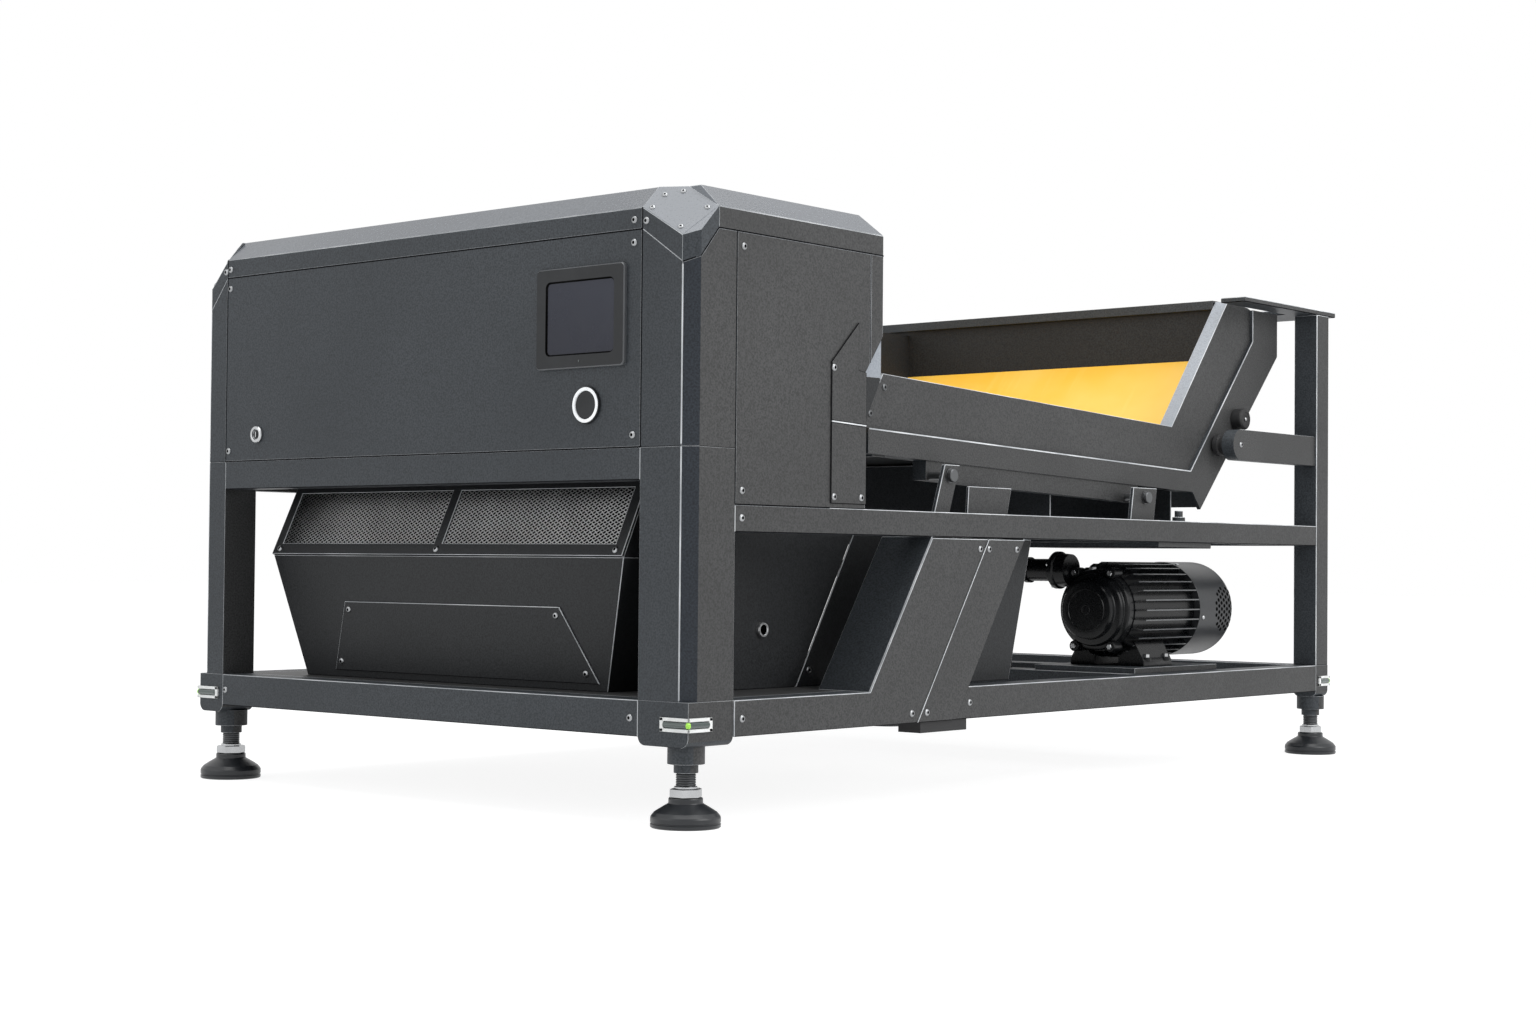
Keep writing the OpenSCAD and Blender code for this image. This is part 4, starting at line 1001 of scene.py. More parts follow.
    def beam_highlights(self) -> None:
        """A pale strip along the top of each cradle beam and its arm: a painted highlight."""
        shape = Shape("beam_beads", Finish.EDGE)
        for side in (1.0, -1.0):
            line = [at(side * self.highlight_x, y, z) for y, z in self.highlight_line]
            for start, end in zip(line, line[1:]):
                shape.strip(start, end, side * RIGHT, self.highlight_w, self.highlight_proud)
        shape.put("trough", "charcoal")

    def ridges(self) -> None:
        """A pale strip along the ridge where each front post folds into its chamfer: a painted highlight."""
        shape = Shape("post_ridges", Finish.EDGE)
        for side in (1.0, -1.0):
            edge = side * (HALF_W - self.chamfer)
            out = Vector((self.ridge_out[0] * side, self.ridge_out[1], 0))
            for low, high in self.ridge_z:
                shape.strip(at(edge, self.ridge_sunk, low), at(edge, self.ridge_sunk, high), out, self.ridge_w,
                            self.ridge_proud)
        shape.put("frame", "charcoal")


@dataclass
class Seams:
    """Dark gaps with a faint glint where the cabin's panels meet."""

    width: float = 2.4
    glint: float = 0.9
    proud: float = 0.3
    front: tuple[Line, ...] = (
        (-600, 1052, -600, 643), (559, 1052, 559, 643), (559, 643, -600, 643), (559, 1015, -600, 1015))
    side: tuple[Line, ...] = (
        (113, 547, 113, 1015), (66, 1015, 522, 1015), (113, 547, 370, 547), (485, 1013, 485, 815))
    joint: tuple[Point2, Point2] = ((371.0, 702.5), (470.0, 698.6))
    joint_x: float = 678.0
    cap: tuple[Point3, ...] = ((-22.0, 0.0, 952.0), (0.0, 22.0, 963.2), (0.0, 66.0, 1015.0))

    def build(self) -> None:
        """Lays the gaps."""
        shape = Shape("panel_seams", Finish.SEAM, Finish.GLINT, Finish.EDGE)
        for x0, z0, x1, z1 in self.front:
            self.gap(shape, at(x0, 0, z0), at(x1, 0, z1), AHEAD)
        for s0, z0, s1, z1 in self.side:
            self.gap(shape, at(HALF_W, s0, z0), at(HALF_W, s1, z1), RIGHT)
        corner = [at(HALF_W + x, y, z) for x, y, z in self.cap]
        for start, end, out in zip(corner, corner[1:], (RIGHT + AHEAD, RIGHT)):
            self.gap(shape, start, end, out)
        # Painted highlight: a pale strip over the slot between the two shield plates.
        start, end = (at(self.joint_x, *spot) for spot in self.joint)
        shape.strip(start, end, RIGHT, self.width, self.proud, 2)
        shape.put("frame", "charcoal")

    def gap(self, shape: Shape, start: Vector, end: Vector, out: Vector) -> None:
        """One gap with the glint on its right, seen from its start.

        Args:
            shape: The mesh that takes it.
            start: One end.
            end: The other end.
            out: Direction that the face looks in.
        """
        aside = (end - start).cross(out).normalized() * (self.width + self.glint) / 2 * MM
        shape.strip(start, end, out, self.width, self.proud)
        shape.strip(start + aside, end + aside, out, self.glint, self.proud, 1)


@dataclass
class Panel:
    """Touch screen, start button and key switch on the front panel."""

    screen_right: float = 151.0
    screen_w: float = 216.0
    screen_h: float = 177.0
    screen_z: float = 784.0
    glass_w: float = 165.0
    glass_h: float = 128.0
    button_in: float = 245.0
    button_z: float = 719.0
    key_x: float = -496.0
    key_z: float = 695.0
    corner_r: float = 9.0
    back_in: float = 12.0
    back_depth: float = 38.0

    def build(self) -> None:
        """Builds and dresses the three controls."""
        self.screen()
        self.button()
        self.key()

    def screen(self) -> None:
        """The bezel with a chamfered window, its glass and a small lamp."""
        x1 = inset(self.screen_right)
        x0 = x1 - self.screen_w
        z0, z1 = self.screen_z, self.screen_z + self.screen_h
        gx, gz = (self.screen_w - self.glass_w) / 2, (self.screen_h - self.glass_h) / 2
        shape = Shape("screen_bezel_frame", Finish.BLACK, Finish.BEZEL, Finish.VIAL, Finish.HOLE)
        middle = ((x0 + x1) / 2, (z0 + z1) / 2)
        outer, inner = (self.screen_w, self.screen_h), (self.glass_w, self.glass_h)
        # The outer rim bands take the painted rim highlight.
        loops = [self.loop(middle, outer, 0.0, 0.0), self.loop(middle, outer, 0.0, -5.6),
                 self.loop(middle, outer, 1.8, -7.5), self.loop(middle, inner, -1.5, -7.5),
                 self.loop(middle, inner, 1.5, -4.4), self.loop(middle, inner, 1.5, 0.0)]
        # The window's inner walls take the painted shade of the hole finish.
        shape.lofted(loops, (1, 1, 0, 3, 3, 0))
        deep = self.back_in
        shape.boxed(at(x0 + deep, -2, z0 + deep), at(x1 - deep, self.back_depth, z1 - deep), 0, 1.0)
        shape.turned([(0, 0), (1.7, 0), (1.7, 0.6), (1.2, 1.0), (0, 1.1)], at(middle[0], -7.4, z0 + deep),
                     AHEAD, 2, 16)
        shape.put("frame", "bezel_black", "screen_bezel")
        glass = Shape("screen_pane", Finish.SCREEN)
        glass.boxed(at(x0 + gx - 2, -4.5, z0 + gz - 2), at(x1 - gx + 2, -2.2, z1 - gz + 2), 0, 0.6)
        glass.put("frame", "screen", "screen_glass")

    def loop(self, middle: Point2, size: Point2, inside: float, back: float) -> list[Vector]:
        """A rectangle with rounded corners, upright behind the front face.

        Args:
            middle: Its middle, across and up, in millimetres.
            size: Its width and height.
            inside: How far it is drawn in.
            back: Millimetres behind the front face.

        Returns:
            Its points in metres.
        """
        round_off = self.corner_r - inside
        points = []
        for quarter, (sx, sz) in enumerate(((1, 1), (-1, 1), (-1, -1), (1, -1))):
            for k in range(7):
                a = math.radians(90 * quarter + 15 * k)
                points.append(at(middle[0] + sx * (size[0] / 2 - self.corner_r) + round_off * math.cos(a), back,
                                 middle[1] + sz * (size[1] / 2 - self.corner_r) + round_off * math.sin(a)))
        return points

    def button(self) -> None:
        """The lit ring with its dark rim, and the button that moves in it."""
        spot = at(inset(self.button_in), 0, self.button_z)
        ring = Shape("start_ring", Finish.RING, Finish.BLACK)
        ring.turned([(25.05, -32), (25.05, 5.2), (25.8, 6.0), (30.2, 6.0), (31.0, 5.2), (31.0, 0.4), (29, 0),
                     (29, -32)], spot, AHEAD, 0, 64)
        ring.turned([(31.0, 0), (31.0, 4.6), (31.8, 5.0), (32.6, 4.4), (33.0, 3.0), (33.0, 0)], spot, AHEAD, 1, 64)
        ring.put("frame", "level_white", "button_ring")
        cap = Shape("start_cap", Finish.BLACK)
        cap.turned([(0, -20), (24.6, -20), (25, -19), (25, 2.6), (24.2, 3.6), (20, 3.9), (12, 3.4), (0, 3.1)],
                   spot, AHEAD, 0, 64)
        cap.put("button", "bezel_black", "start_button")

    def key(self) -> None:
        """The key switch: a plated rim, a dark well and its keyway."""
        x, z = self.key_x, self.key_z
        spot = at(x, 0, z)
        shape = Shape("key_barrel", Finish.CHROME, Finish.BLACK)
        shape.turned([(12, -30), (12, 0.5), (17, 0.5), (17, 4.2), (15.8, 6.4), (12.4, 7.0), (11.0, 6.2),
                      (10.4, 3.4)], spot, AHEAD, 0, 40)
        shape.turned([(10.3, 2.6), (10.3, 3.4), (7.0, 3.9), (0, 3.9)], spot, AHEAD, 1, 6)
        shape.boxed(at(x - 1.2, -6.0, z - 5.5), at(x + 1.2, -3.2, z + 5.5), 0, 0.4)
        shape.put("key", "steel", "key_switch")


@dataclass
class Foot:
    """One levelling foot: pad, neck, hex nut and threaded stud."""

    body: str
    node: str
    across: float
    back: float
    pad_r: float = 60.0
    stud_r: float = 17.4
    nut_z: float = 50.0
    top_z: float = 187.0
    pitch: float = 4.0
    thread_depth: float = 1.6
    nut_h: float = 16.0

    def build(self) -> None:
        """Builds and dresses the foot."""
        foot = at(self.across, self.back, 0)
        r, n, top = self.pad_r, self.nut_z, self.nut_z + self.nut_h
        shape = Shape(self.node + "_dressed", Finish.PAD, Finish.CHROME, Finish.THREAD)
        shape.turned([(0, 0), (r - 2, 0), (r, 1.5), (r, 6.6), (r - 1.4, 7.4), (r - 1.4, 8.8), (r, 9.6), (r, 17),
                      (r - 1, 19.6), (r - 3, 22), (54, 25.8), (46, 31), (37, 36.4), (32, 39.2), (30, 40.6),
                      (29.5, 42), (29.5, n - 2), (28.5, n), (0, n)], foot, UP, 0, 64)
        shape.turned([(0, n), (25, n), (28.6, n + 1.4), (28.6, top - 1.6), (25, top), (0, top)], foot, UP, 1, 6)
        shape.turned([(0, top), (20, top), (20, top + 2.5), (19, top + 3.5), (0, top + 3.5)], foot, UP, 1, 32)
        root = self.stud_r - self.thread_depth
        thread = [(0.0, top)]
        height = top
        while height + self.pitch < self.top_z:
            thread += [(root, height), (self.stud_r, height + self.pitch * 0.42),
                       (self.stud_r, height + self.pitch * 0.58)]
            height += self.pitch
        thread += [(root, height), (0.0, height)]
        shape.turned(thread, foot, UP, 2, 32)
        shape.put(self.body, "pad_black", self.node)


@dataclass
class Levels:
    """Spirit levels bent round the four corner blocks."""

    foot_z: float = 163.0
    height: float = 24.0
    thick: float = 4.0
    bar: float = 6.0
    end: float = 8.0
    round_off: float = 0.9
    tube_r: float = 5.4
    bubble_r: float = 5.7
    corners: tuple[tuple[float, ...], ...] = (
        (675.0, 0.0, -1.0, 1.0, 62.0, 57.0), (-675.0, 0.0, 1.0, 1.0, 62.0, 57.0),
        (675.0, 2290.0, -1.0, -1.0, 48.0, 48.0), (-675.0, 2290.0, 1.0, -1.0, 48.0, 48.0))

    def build(self) -> None:
        """Builds the white frames, the tubes and the bubbles."""
        frames = Shape("level_frames", Finish.WHITE)
        tubes = Shape("level_tubes", Finish.VIAL, Finish.BUBBLE)
        z0, z1 = self.foot_z, self.foot_z + self.height
        t, end = self.thick, self.end
        for x, y, sx, sy, la, lb in self.corners:
            bars = []
            for c0, c1 in ((z0, z0 + self.bar), (z1 - self.bar, z1)):
                bars += [(-t, la, -t, 0, c0, c1), (-t, 0, -t, lb, c0, c1)]
            bars += [(la - end, la, -t, 0, z0, z1), (-t, 0, lb - end, lb, z0, z1)]
            for a0, a1, b0, b1, c0, c1 in bars:
                ends = at(x + sx * a0, y + sy * b0, c0), at(x + sx * a1, y + sy * b1, c1)
                low, high = (Vector([pick(pair) for pair in zip(*ends)]) for pick in (min, max))
                frames.boxed(low, high, 0, self.round_off)
            mid, r = (z0 + z1) / 2, self.tube_r
            for reach, along in ((la, sx * RIGHT), (lb, sy * BACKWARD)):
                tubes.turned([(0, 0), (r - 0.6, 0), (r, 1), (r, reach - end), (0, reach - end)],
                             at(x - sx * 0.6, y - sy * 0.6, mid), along, 0, 20)
            b = self.bubble_r
            ball = [(b * math.sin(math.pi * k / 10), -b * math.cos(math.pi * k / 10)) for k in range(1, 10)]
            tubes.turned([(0, -b), *ball, (0, b)], at(x - sx * 0.4, y - sy * 0.4, mid), UP, 1, 20)
        frames.put("frame", "level_white", "spirit_levels")
        tubes.put("frame", "level_white")


@dataclass
class Screens:
    """Expanded-metal screens in the two windows of the discharge hood."""

    left: float = -556.0
    width: float = 991.0
    bar: float = 24.0
    ridge_back: float = 90.0
    ridge_up: float = 455.0
    lean: float = 68.0
    rise: float = 145.0
    cell_w: float = 14.0
    cell_h: float = 8.2
    mesh_lift: float = 2.6
    strand_half: float = 0.8
    strand_tip: float = 20.0
    shade_sheet_in: float = 4.0

    def build(self) -> None:
        """Weaves both screens from one strand diamond."""
        length = math.hypot(self.lean, self.rise)
        window_w = (self.width - 3 * self.bar) / 2
        window_h = length - 2 * self.bar
        across, up = round(window_w / self.cell_w), round(window_h / self.cell_h)
        pitch_x, pitch_y = window_w / across, window_h / up
        strand = self.diamond(pitch_x, pitch_y).small()
        slope = Matrix.Translation(at(0, self.ridge_back, self.ridge_up)) @ Matrix.Rotation(
            math.atan2(self.rise, self.lean), 4, "X")
        for k, name in enumerate(("screen_left_mesh", "screen_right_mesh")):
            tree = Pattern(name)
            grid = tree.node("GeometryNodeMeshGrid", None, {
                "Size X": tree.size("Width", "NodeSocketFloat", (window_w - pitch_x) * MM),
                "Size Y": tree.size("Height", "NodeSocketFloat", (window_h - pitch_y) * MM),
                "Vertices X": tree.size("Across", "NodeSocketInt", across),
                "Vertices Y": tree.size("Up", "NodeSocketInt", up)})
            item = tree.node("GeometryNodeObjectInfo", None,
                             {"Object": tree.size("Strand", "NodeSocketObject", strand)})
            laid = tree.node("GeometryNodeInstanceOnPoints", None,
                             {"Points": grid.outputs["Mesh"], "Instance": item.outputs["Geometry"]})
            tree.close(laid.outputs[0], Finish.MESH)
            middle = Vector((self.left + self.bar + window_w / 2 + k * (window_w + self.bar),
                             self.bar + window_h / 2, self.mesh_lift)) * MM
            piece = tree.grow(name, [Vector()], {}, slope @ Matrix.Translation(middle))
            settle(piece, "frame", ("grille_mesh",))
        bpy.data.objects.remove(strand)
        # Painted shade: a dark sheet behind the expanded metal.
        shade_sheet = Shape("screen_backing", Finish.HOLE)
        rim = self.shade_sheet_in
        shade_sheet.boxed(Vector((self.left + rim, rim, -1.2)) * MM,
                      Vector((self.left + self.width - rim, length - rim, -0.2)) * MM, 0, 0.0, slope)
        shade_sheet.put("frame", "mesh")

    def diamond(self, pitch_x: float, pitch_y: float) -> Shape:
        """One diamond of slit and stretched strand.

        Args:
            pitch_x: Width of the diamond in millimetres.
            pitch_y: Height of the diamond in millimetres.

        Returns:
            The diamond, tipped as the slitting leaves it.
        """
        shape = Shape("strand_diamond", Finish.MESH)
        a, b = pitch_x / 2 * MM, pitch_y / 2 * MM
        tip = Matrix.Rotation(math.radians(self.strand_tip), 3, "X")
        half = self.strand_half
        rim = []
        for scale, lift in ((1.04, -half), (1.04, half), (0.74, half), (0.74, -half)):
            rim.append([shape.bm.verts.new(tip @ Vector((x * a * scale, y * b * scale, lift * MM)))
                        for x, y in ((1, 0), (0, 1), (-1, 0), (0, -1))])
        for low, high in zip(rim, rim[1:] + rim[:1]):
            for k in range(4):
                shape.bm.faces.new((low[k], low[(k + 1) % 4], high[(k + 1) % 4], high[k]))
        bmesh.ops.recalc_face_normals(shape.bm, faces=shape.bm.faces)
        return shape


@dataclass
class Screws:
    """Button heads with a hex socket, set where the CAD places a screw."""

    node: str = "panel_screws"
    cad_r: float = 6.5
    smallest: float = 0.6
    largest: float = 1.1
    heart_z: float = 0.55

    def build(self) -> None:
        """Sets one head on each seat of the node."""
        seats = self.seats()
        head = Shape("button_head", Finish.STEEL)
        head.turned([(0, 1.1), (2.9, 1.1), (3.0, 2.9), (3.8, 2.9), (5.2, 2.3), (6.4, 1.1), (6.6, 0.2), (6.6, -0.2),
                     (0, -0.2)], Vector(), UP, 0, 18)
        # Painted shade: a dark hex fills the head's recess where the socket is.
        socket = Shape("hex_socket", Finish.HOLE)
        socket.turned([(0, 1.0), (2.85, 1.0), (2.85, 2.2), (0, 1.4)], Vector(), UP, 0, 6)
        scatter("button_heads", head, Finish.STEEL, seats, (self.node,))
        scatter("hex_sockets", socket, Finish.HOLE, seats)

    def seats(self) -> list[Seat]:
        """Finds each screw's seat, axis and size from the loose solids of the node.

        Returns:
            One seat, outward axis and scale for each screw.
        """
        bm = bmesh.new()
        bm.from_mesh(frame["nodes"][self.node].data)
        bmesh.ops.remove_doubles(bm, verts=bm.verts, dist=WELD)
        left = set(bm.verts)
        found = []
        while left:
            island, open_ends = set(), [next(iter(left))]
            while open_ends:
                vert = open_ends.pop()
                if vert in island:
                    continue
                island.add(vert)
                open_ends += [e.other_vert(vert) for e in vert.link_edges]
            left -= island
            spots = np.array(sorted(tuple(v.co) for v in island))
            middle = (spots.max(axis=0) + spots.min(axis=0)) / 2
            values, axes = np.linalg.eigh(np.cov((spots - spots.mean(axis=0)).T))
            axis = Vector(axes[:, 0])
            centre = Vector(middle)
            if axis.dot(centre - self.heart_z * UP) < 0:
                axis = -axis
            height = np.ptp(spots @ np.array(axis))
            scale = math.sqrt(2 * values[2]) / (self.cad_r * MM)
            found.append((centre - axis * height / 2, axis, min(self.largest, max(self.smallest, scale))))
        bm.free()
        return sorted(found, key=lambda s: tuple(round(c, 5) for c in s[0]))


@dataclass
class Motor:
    """The geared motor: stepped cover, finned body, fan cowl and side tube."""

    x: float = 490.0
    z: float = 350.0
    front: float = 1500.0
    body_front: float = 1560.0
    body_end: float = 1815.0
    cowl_l: float = 170.0
    core_r: float = 92.0
    fin_r: float = 107.0
    fins: int = 30
    base_z: float = 225.0
    cowl_r: float = 108.0
    cowl_bend: float = 34.0
    hole_row: float = 11.6
    hole_pitch: float = 13.4
    patch_r: float = 52.0
    patch_in: float = 48.0
    lug_r: float = 94.0
    gear_in: float = 96.0
    gear_z: float = 437.0
    gear_bolt_r: float = 37.5
    foot_back: float = 30.0
    foot_l: float = 120.0

    def build(self) -> None:
        """Builds and dresses the motor."""
        self.cover()
        self.body()
        self.cowl()

    def axis_at(self, back: float) -> Vector:
        """A point of the motor's axis."""
        return at(self.x, back, self.z)

    def cover(self) -> None:
        """The stepped end cover with its lugs, bolts and the gear housing beside it."""
        shape = Shape("motor_cover", Finish.MOTOR, Finish.CHROME)
        shape.turned([(0, 2.0), (9, 2.0), (10, 1.0), (11, 2.0), (44, 2.0), (45, 0.6), (47, 0.6), (48, 2.0), (57, 2.0),
                      (62, 3.0), (64.4, 5.5), (65, 9), (65.4, 17), (66.6, 19.6), (69, 20.6), (74, 21.6), (78, 23.6),
                      (80, 27), (80.6, 32), (82, 34.2), (85, 35.2), (88.4, 37), (90, 41), (90, 60), (0, 60)],
                     self.axis_at(self.front), BACKWARD, 0, 72)
        for angle in (30, 150, 210, 330):
            a = math.radians(angle)
            spot = at(self.x + self.lug_r * math.sin(a), self.front + 28, self.z + self.lug_r * math.cos(a))
            shape.turned([(0, 0), (11, 0), (12, 1.2), (12, 31.5), (0, 31.5)], spot, BACKWARD, 0, 28)
            shape.turned([(0, -5), (5.6, -5), (6.6, -4), (6.6, 0.4), (0, 0.4)], spot, BACKWARD, 1, 6)
        gear = at(self.x - self.gear_in, self.front + 30, self.gear_z)
        shape.turned([(0, 0), (34, 0), (35, 1), (41, 1), (42, 2.4), (42, 12), (40, 14), (38, 15), (36, 40), (0, 40)],
                     gear, RIGHT, 0, 48)
        for angle in (20, 110, 200, 290):
            a = math.radians(angle)
            shape.turned([(0, -2.6), (4, -2.6), (4.8, -1.8), (4.8, 1.4), (0, 1.4)],
                         gear + Vector((0, math.sin(a), math.cos(a))) * self.gear_bolt_r * MM, RIGHT, 1, 6)
        shape.turned([(0, 0), (9, 0), (9, 7), (7, 9), (0, 9)], at(self.x - 10, self.front + 46, self.z + 87),
                     UP, 1, 6)
        shape.put("frame", "motor_black", "motor_shield")

    def body(self) -> None:
        """The core with cast feet and bolts, and the fins round it."""
        shape = Shape("motor_core", Finish.MOTOR, Finish.CHROME)
        length = self.body_end - self.body_front
        shape.turned([(62, 0), (self.core_r, 0), (self.core_r, length), (15, length), (15, length - 12),
                      (62, length - 12)], self.axis_at(self.body_front), BACKWARD, 0, 64)
        back = self.body_front + self.foot_back
        for side in (-1, 1):
            outline = [at(self.x + side * a, back, b) for a, b in
                       ((30, 272), (30, self.base_z), (96, self.base_z), (96, 238), (90, 244), (72, 280))]
            shape.folded(outline, self.foot_l * MM * BACKWARD, 0, 1.6)
            for step in (20, 100):
                seat = at(self.x + side * 90, back + step, 242)
                shape.turned([(0, -6), (11, -6), (11, 2), (0, 2)], seat, UP, 0, 20)
                shape.turned([(0, 2), (7, 2), (8, 3), (8, 9), (7, 10), (0, 10)], seat, UP, 1, 6)
        shape.put("frame", "motor_black", "motor_body")
        # Painted highlight along the top of each fin.
        tip = Shape("fin_tip", Finish.FIN)
        tip.boxed(Vector((-1.4, 24, self.fin_r - 0.5)) * MM, Vector((1.4, length - 1, self.fin_r + 0.25)) * MM)
        self.round_about("motor_fins", self.fin(), Finish.MOTOR)
        self.round_about("fin_tips", tip, Finish.FIN)

    def round_about(self, name: str, item: Shape, finish: Finish) -> None:
        """Sets one small mesh all round the motor's body.

        Args:
            name: The piece's name.
            item: The small mesh, upright over the axis.
            finish: Its finish.
        """
        proto = item.small()
        tree = Pattern(name)
        count = tree.size("Fins", "NodeSocketInt", self.fins)
        step = tree.size("Step", "NodeSocketFloat", math.tau / self.fins)
        held = tree.node("GeometryNodeObjectInfo", None, {"Object": tree.size("Fin", "NodeSocketObject", proto)})
        spots = tree.node("GeometryNodePoints", None, {"Count": count})
        index = Sock(tree, tree.node("GeometryNodeInputIndex").outputs[0])
        turn = tree.node("ShaderNodeCombineXYZ", None, {"Y": (index + 0.5) * Sock(tree, step)})
        euler = tree.node("FunctionNodeEulerToRotation", None, {0: turn.outputs[0]})
        laid = tree.node("GeometryNodeInstanceOnPoints", None, {
            "Points": spots.outputs[0], "Instance": held.outputs["Geometry"], "Rotation": euler.outputs[0]})
        tree.close(laid.outputs[0], finish)
        piece = tree.grow(name, [Vector()], {}, Matrix.Translation(self.axis_at(self.body_front)))
        bpy.data.objects.remove(proto)
        settle(piece, "frame")

    def fin(self) -> Shape:
        """One fin standing up from the axis, with a swept front end and a thin top."""
        shape = Shape("motor_fin", Finish.MOTOR)
        length = self.body_end - self.body_front
        foot, top = self.core_r - 4, self.fin_r
        side = [(2, foot), (2, foot + 5), (10, top - 5), (20, top - 1.2), (28, top), (length - 1, top),
                (length - 1, foot)]
        rows = []
        for sign in (-1, 1):
            rows.append([shape.bm.verts.new(Vector((sign * (2.3 if r < top - 6 else 1.3), y, r)) * MM)
                         for y, r in side])
        shape.bm.faces.new(rows[0])
        shape.bm.faces.new(rows[1][::-1])
        for k in range(len(side)):
            n = (k + 1) % len(side)
            shape.bm.faces.new((rows[0][k], rows[1][k], rows[1][n], rows[0][n]))
        bmesh.ops.recalc_face_normals(shape.bm, faces=shape.bm.faces)
        return shape

    def cowl(self) -> None:
        """The drawn fan cowl with a rolled lip and screws, and its air holes."""
        r, bend = self.cowl_r, self.cowl_bend
        straight = self.cowl_l - bend - 1
        turns = (math.radians(9 * k) for k in range(1, 11))
        arc = [(r - bend + bend * math.cos(a), straight + bend * math.sin(a)) for a in turns]
        shape = Shape("fan_cowl", Finish.COWL, Finish.CHROME)
        shape.turned([(r - 3, 1), (r - 0.6, 0), (r, 1), (r, straight), *arc, (0, straight + bend)],
                     self.axis_at(self.body_end), BACKWARD, 0, 72)
        for angle in (100, 20, -60, 180):
            a = math.radians(angle)
            out = Vector((math.sin(a), 0, math.cos(a)))
            shape.turned([(0, -1), (5, -1), (5, 1), (3.8, 2.2), (0, 2.6)],
                         self.axis_at(self.body_end + 16) + out * r * MM, out, 1, 16)
        shape.put("frame", "cowl_grey", "motor_cowl")
        self.air_holes(straight)

    def air_holes(self, straight: float) -> None:
        """The round patch of punched holes on the cowl's outer side, drawn as discs painted dark as shade.

        Args:
            straight: Length of the cowl before its bend.
        """
        r, bend = self.cowl_r, self.cowl_bend
        seats = []
        for row in range(-4, 5):
            for k in range(-4, 5):
                along, round_it = row * self.hole_row, (k + 0.5 * (row % 2)) * self.hole_pitch
                if along ** 2 + round_it ** 2 > self.patch_r ** 2:
                    continue
                back = self.cowl_l - self.patch_in + along
                lean = math.asin(min(0.94, max(0.0, (back - straight) / bend)))
                a = math.pi / 2 + round_it / (r - 4)
                ray = Vector((math.sin(a), 0, math.cos(a)))
                spot = self.axis_at(self.body_end + min(back, straight + bend - 2))
                spot += ray * (r - bend + bend * math.cos(lean)) * MM
                seats.append((spot, ray * math.cos(lean) + BACKWARD * math.sin(lean), 1.0))
        # Painted shade: dark discs on the cowl stand for the punched holes.
        hole = Shape("punched_hole", Finish.HOLE)
        hole.turned([(0, 0.2), (3.8, 0.2), (4.3, 0.4), (4.5, -0.3)], Vector(), UP, 0, 10)
        scatter("air_holes", hole, Finish.HOLE, seats)


@dataclass
class Fittings:
    """Rubber mounts, bolts and the air port."""

    knuckle: Point2 = (1870.0, 727.0)
    bush: Point2 = (1965.0, 792.0)
    air: Point2 = (425.0, 323.0)
    air_in: float = 210.0
    knuckle_in: float = 67.7
    bush_in: float = 72.0
    bolt_in: float = 76.0
    bolt_backs: Point2 = (772.0, 1490.0)
    bolt_drop: float = 78.0
    beam_start: Point2 = (573.0, 703.0)
    beam_end: Point2 = (1770.0, 665.0)
    screw_in: float = 80.0
    screws: tuple[Point2, ...] = ((631.0, 783.0), (587.0, 731.0))

    def build(self) -> None:
        """Builds and dresses the fittings."""
        buffers = Shape("rubber_buffers", Finish.RUBBER)
        bushes = Shape("rubber_bushes", Finish.RUBBER, Finish.CHROME)
        for side in (-1, 1):
            out = side * RIGHT
            buffers.turned([(0, 0), (23, 0), (25, 2), (25, 12), (22, 15), (22, 19), (25, 22), (25, 30.7), (23, 32.7),
                            (0, 32.7)], at(side * inset(self.knuckle_in), *self.knuckle), out, 0, 40)
            seat = at(side * inset(self.bush_in), *self.bush)
            bushes.turned([(0, 0), (22, 0), (25, 2), (25, 22), (24, 25), (20, 27.4), (16, 27.6), (15, 26.4), (9, 26.4),
                           (6.4, 25), (0, 25)], seat, out, 0, 40)
            bushes.turned([(0, 24), (4.4, 24), (4.4, 27.4), (3.6, 28), (0, 28)], seat, out, 1, 6)
        buffers.put("frame", "rubber", "support_buffers")
        bushes.put("trough", "rubber", "trough_bushes")
        port = Shape("air_port", Finish.BRIGHT, Finish.HOLE)
        spot = at(inset(self.air_in), *self.air)
        port.turned([(9.3, 0), (11, 0), (11, 3), (14, 3), (14, 9), (13, 11), (10.2, 11), (9.3, 10), (9.3, 0)],
                    spot, RIGHT, 0, 36)
        # Painted shade: a dark lining inside the port's bore.
        port.turned([(8.8, 0.2), (9.28, 0.2), (9.28, 9.8), (8.8, 9.8), (8.8, 0.2)], spot, RIGHT, 1, 36)
        port.put("frame", "steel", "air_inlet")
        self.bolts()

    def bolts(self) -> None:
        """The bolts of the trough's brackets and the screws at its front."""
        shape = Shape("trough_hex_bolts", Finish.THREAD)
        (y0, z0), (y1, z1) = self.beam_start, self.beam_end
        for side in (-1, 1):
            out = side * RIGHT
            for back in self.bolt_backs:
                z = z0 - (z0 - z1) / (y1 - y0) * (back - y0) - self.bolt_drop
                shape.turned([(0, 0), (8, 0), (8, 49), (14, 49), (14, 50.6), (11.5, 51), (12.6, 52), (12.6, 58.6),
                              (11.6, 60), (0, 60)], at(side * inset(self.bolt_in), back, z), out, 0, 24)
            for back, z in self.screws:
                shape.turned([(0, 0.4), (2.6, 0.4), (2.8, 3.0), (4.2, 3.0), (6.2, 2.0), (7, 0.6), (7, 0), (0, 0)],
                             at(side * inset(self.screw_in), back, z), out, 0, 20)
        shape.put("trough", "steel", "trough_bolts")


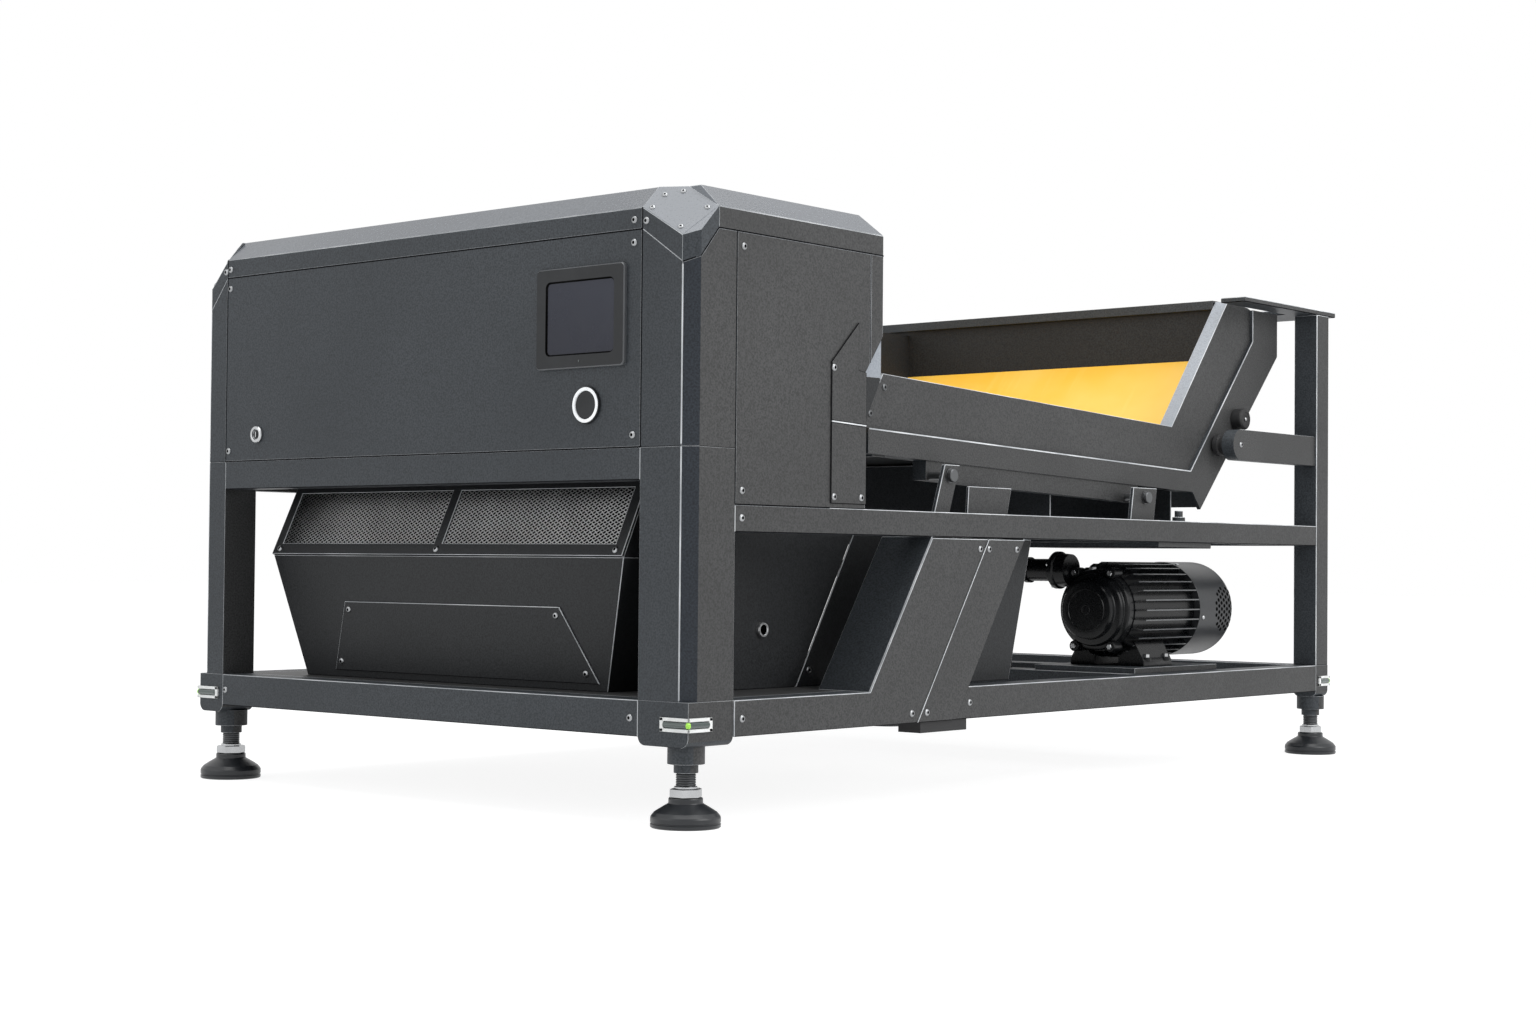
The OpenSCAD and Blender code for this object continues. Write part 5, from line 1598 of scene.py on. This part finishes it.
@dataclass
class Studio:
    """Camera at the photograph's angle, soft lamps and a pale floor."""

    focal: float = 54.1
    yaw: float = 40.47
    pitch: float = 1.26
    roll: float = 0.5
    eye: Point3 = (3.2705, -3.9962, 0.44775)
    sensor: float = 36.0
    far: float = 60.0
    floor_half: float = 30.0
    floor_z: float = -0.0005
    floor_glow: float = 1.32
    floor_share: float = 0.68
    soft_light: float = 0.45
    lamps: tuple[tuple[str, Point3, Point3, float, float], ...] = (
        ("key_right", (4.4, 0.2, 2.6), (0.4, 0.1, 0.6), 3.0, 95.0),
        ("front_fill", (-1.6, -5.2, 2.6), (0.0, -0.6, 0.6), 4.2, 42.0),
        ("overhead", (0.4, -0.4, 4.4), (0.0, 0.0, 0.6), 4.2, 150.0))

    def build(self) -> None:
        """Sets up the studio."""
        self.camera()
        self.floor()
        self.world()
        for lamp in self.lamps:
            self.lamp(*lamp)

    def camera(self) -> None:
        """Places the camera."""
        yaw, pitch, roll = (math.radians(v) for v in (self.yaw, self.pitch, self.roll))
        ahead = Vector((-math.sin(yaw) * math.cos(pitch), math.cos(yaw) * math.cos(pitch), math.sin(pitch)))
        right = ahead.cross(UP).normalized()
        up = right.cross(ahead)
        right, up = right * math.cos(roll) + up * math.sin(roll), up * math.cos(roll) - right * math.sin(roll)
        data = bpy.data.cameras.new("view")
        data.lens = self.focal
        data.sensor_width = self.sensor
        data.clip_end = self.far
        obj = link("view", data)
        turn = Matrix((right, up, -ahead)).transposed().to_4x4()
        obj.matrix_world = Matrix.Translation(self.eye) @ turn
        bpy.context.scene.camera = obj

    def floor(self) -> None:
        """Lays the pale floor."""
        bm = bmesh.new()
        bmesh.ops.create_grid(bm, x_segments=1, y_segments=1, size=self.floor_half)
        for vert in bm.verts:
            vert.co.z = self.floor_z
        obj = meshed("floor", bm)
        paint = Paint("pale_floor")
        paint.set(Base_Color=(0.88, 0.88, 0.88), Roughness=0.9)
        white = paint.node("ShaderNodeEmission", None, {"Color": (1, 1, 1, 1), "Strength": self.floor_glow})
        mixed = paint.node("ShaderNodeMixShader", None, {
            0: self.floor_share * self.seen(paint), 1: paint.shader.outputs[0], 2: white.outputs[0]})
        output = next(n for n in paint.tree.nodes if n.type == "OUTPUT_MATERIAL")
        paint.feed(output.inputs["Surface"], mixed.outputs[0])
        obj.data.materials.append(paint.material)

    def world(self) -> None:
        """Even soft light, and a white backdrop to the camera."""
        world = bpy.data.worlds.new("studio")
        world.use_nodes = True
        bpy.context.scene.world = world
        graph = Graph(world.node_tree)
        world.node_tree.nodes.clear()
        soft = graph.node("ShaderNodeBackground", None,
                          {"Color": (0.96, 0.98, 1.0, 1), "Strength": self.soft_light})
        white = graph.node("ShaderNodeBackground", None, {"Color": (1, 1, 1, 1), "Strength": 1.0})
        mixed = graph.node("ShaderNodeMixShader", None,
                           {0: self.seen(graph), 1: soft.outputs[0], 2: white.outputs[0]})
        graph.node("ShaderNodeOutputWorld", None, {"Surface": mixed.outputs[0]})

    def seen(self, graph: Graph) -> Sock:
        """One for a ray that shows the backdrop: straight, mirrored or through glass."""
        rays = graph.node("ShaderNodeLightPath").outputs
        return (Sock(graph, rays["Is Camera Ray"]) + Sock(graph, rays["Is Glossy Ray"])
                + Sock(graph, rays["Is Transmission Ray"]))

    def lamp(self, name: str, place: Point3, aim: Point3, size: float, power: float) -> None:
        """Hangs one soft lamp.

        Args:
            name: The lamp's name.
            place: Where it hangs.
            aim: What it points at.
            size: Its side in metres.
            power: Its watts.
        """
        data = bpy.data.lights.new(name, "AREA")
        data.shape = "SQUARE"
        data.size = size
        data.energy = power
        obj = link(name, data)
        turn = (Vector(aim) - Vector(place)).to_track_quat("-Z", "Y").to_matrix().to_4x4()
        obj.matrix_world = Matrix.Translation(place) @ turn


def main() -> None:
    """Builds the sorter's looks, one sub-assembly after another."""
    logging.basicConfig(level=logging.INFO, format="%(name)s: %(message)s")
    bpy.context.scene.view_settings.view_transform = "Standard"
    Studio().build()
    Shell().build()
    Seams().build()
    Panel().build()
    for foot in (Foot("foot_fr", "foot_front_right", 630, 45), Foot("foot_fl", "foot_front_left", -630, 45),
                 Foot("foot_rr", "foot_rear_right", 645, 2260), Foot("foot_rl", "foot_rear_left", -645, 2260)):
        foot.build()
    Levels().build()
    Screens().build()
    Motor().build()
    Fittings().build()
    Screws().build()


if __name__ == "__main__":
    main()
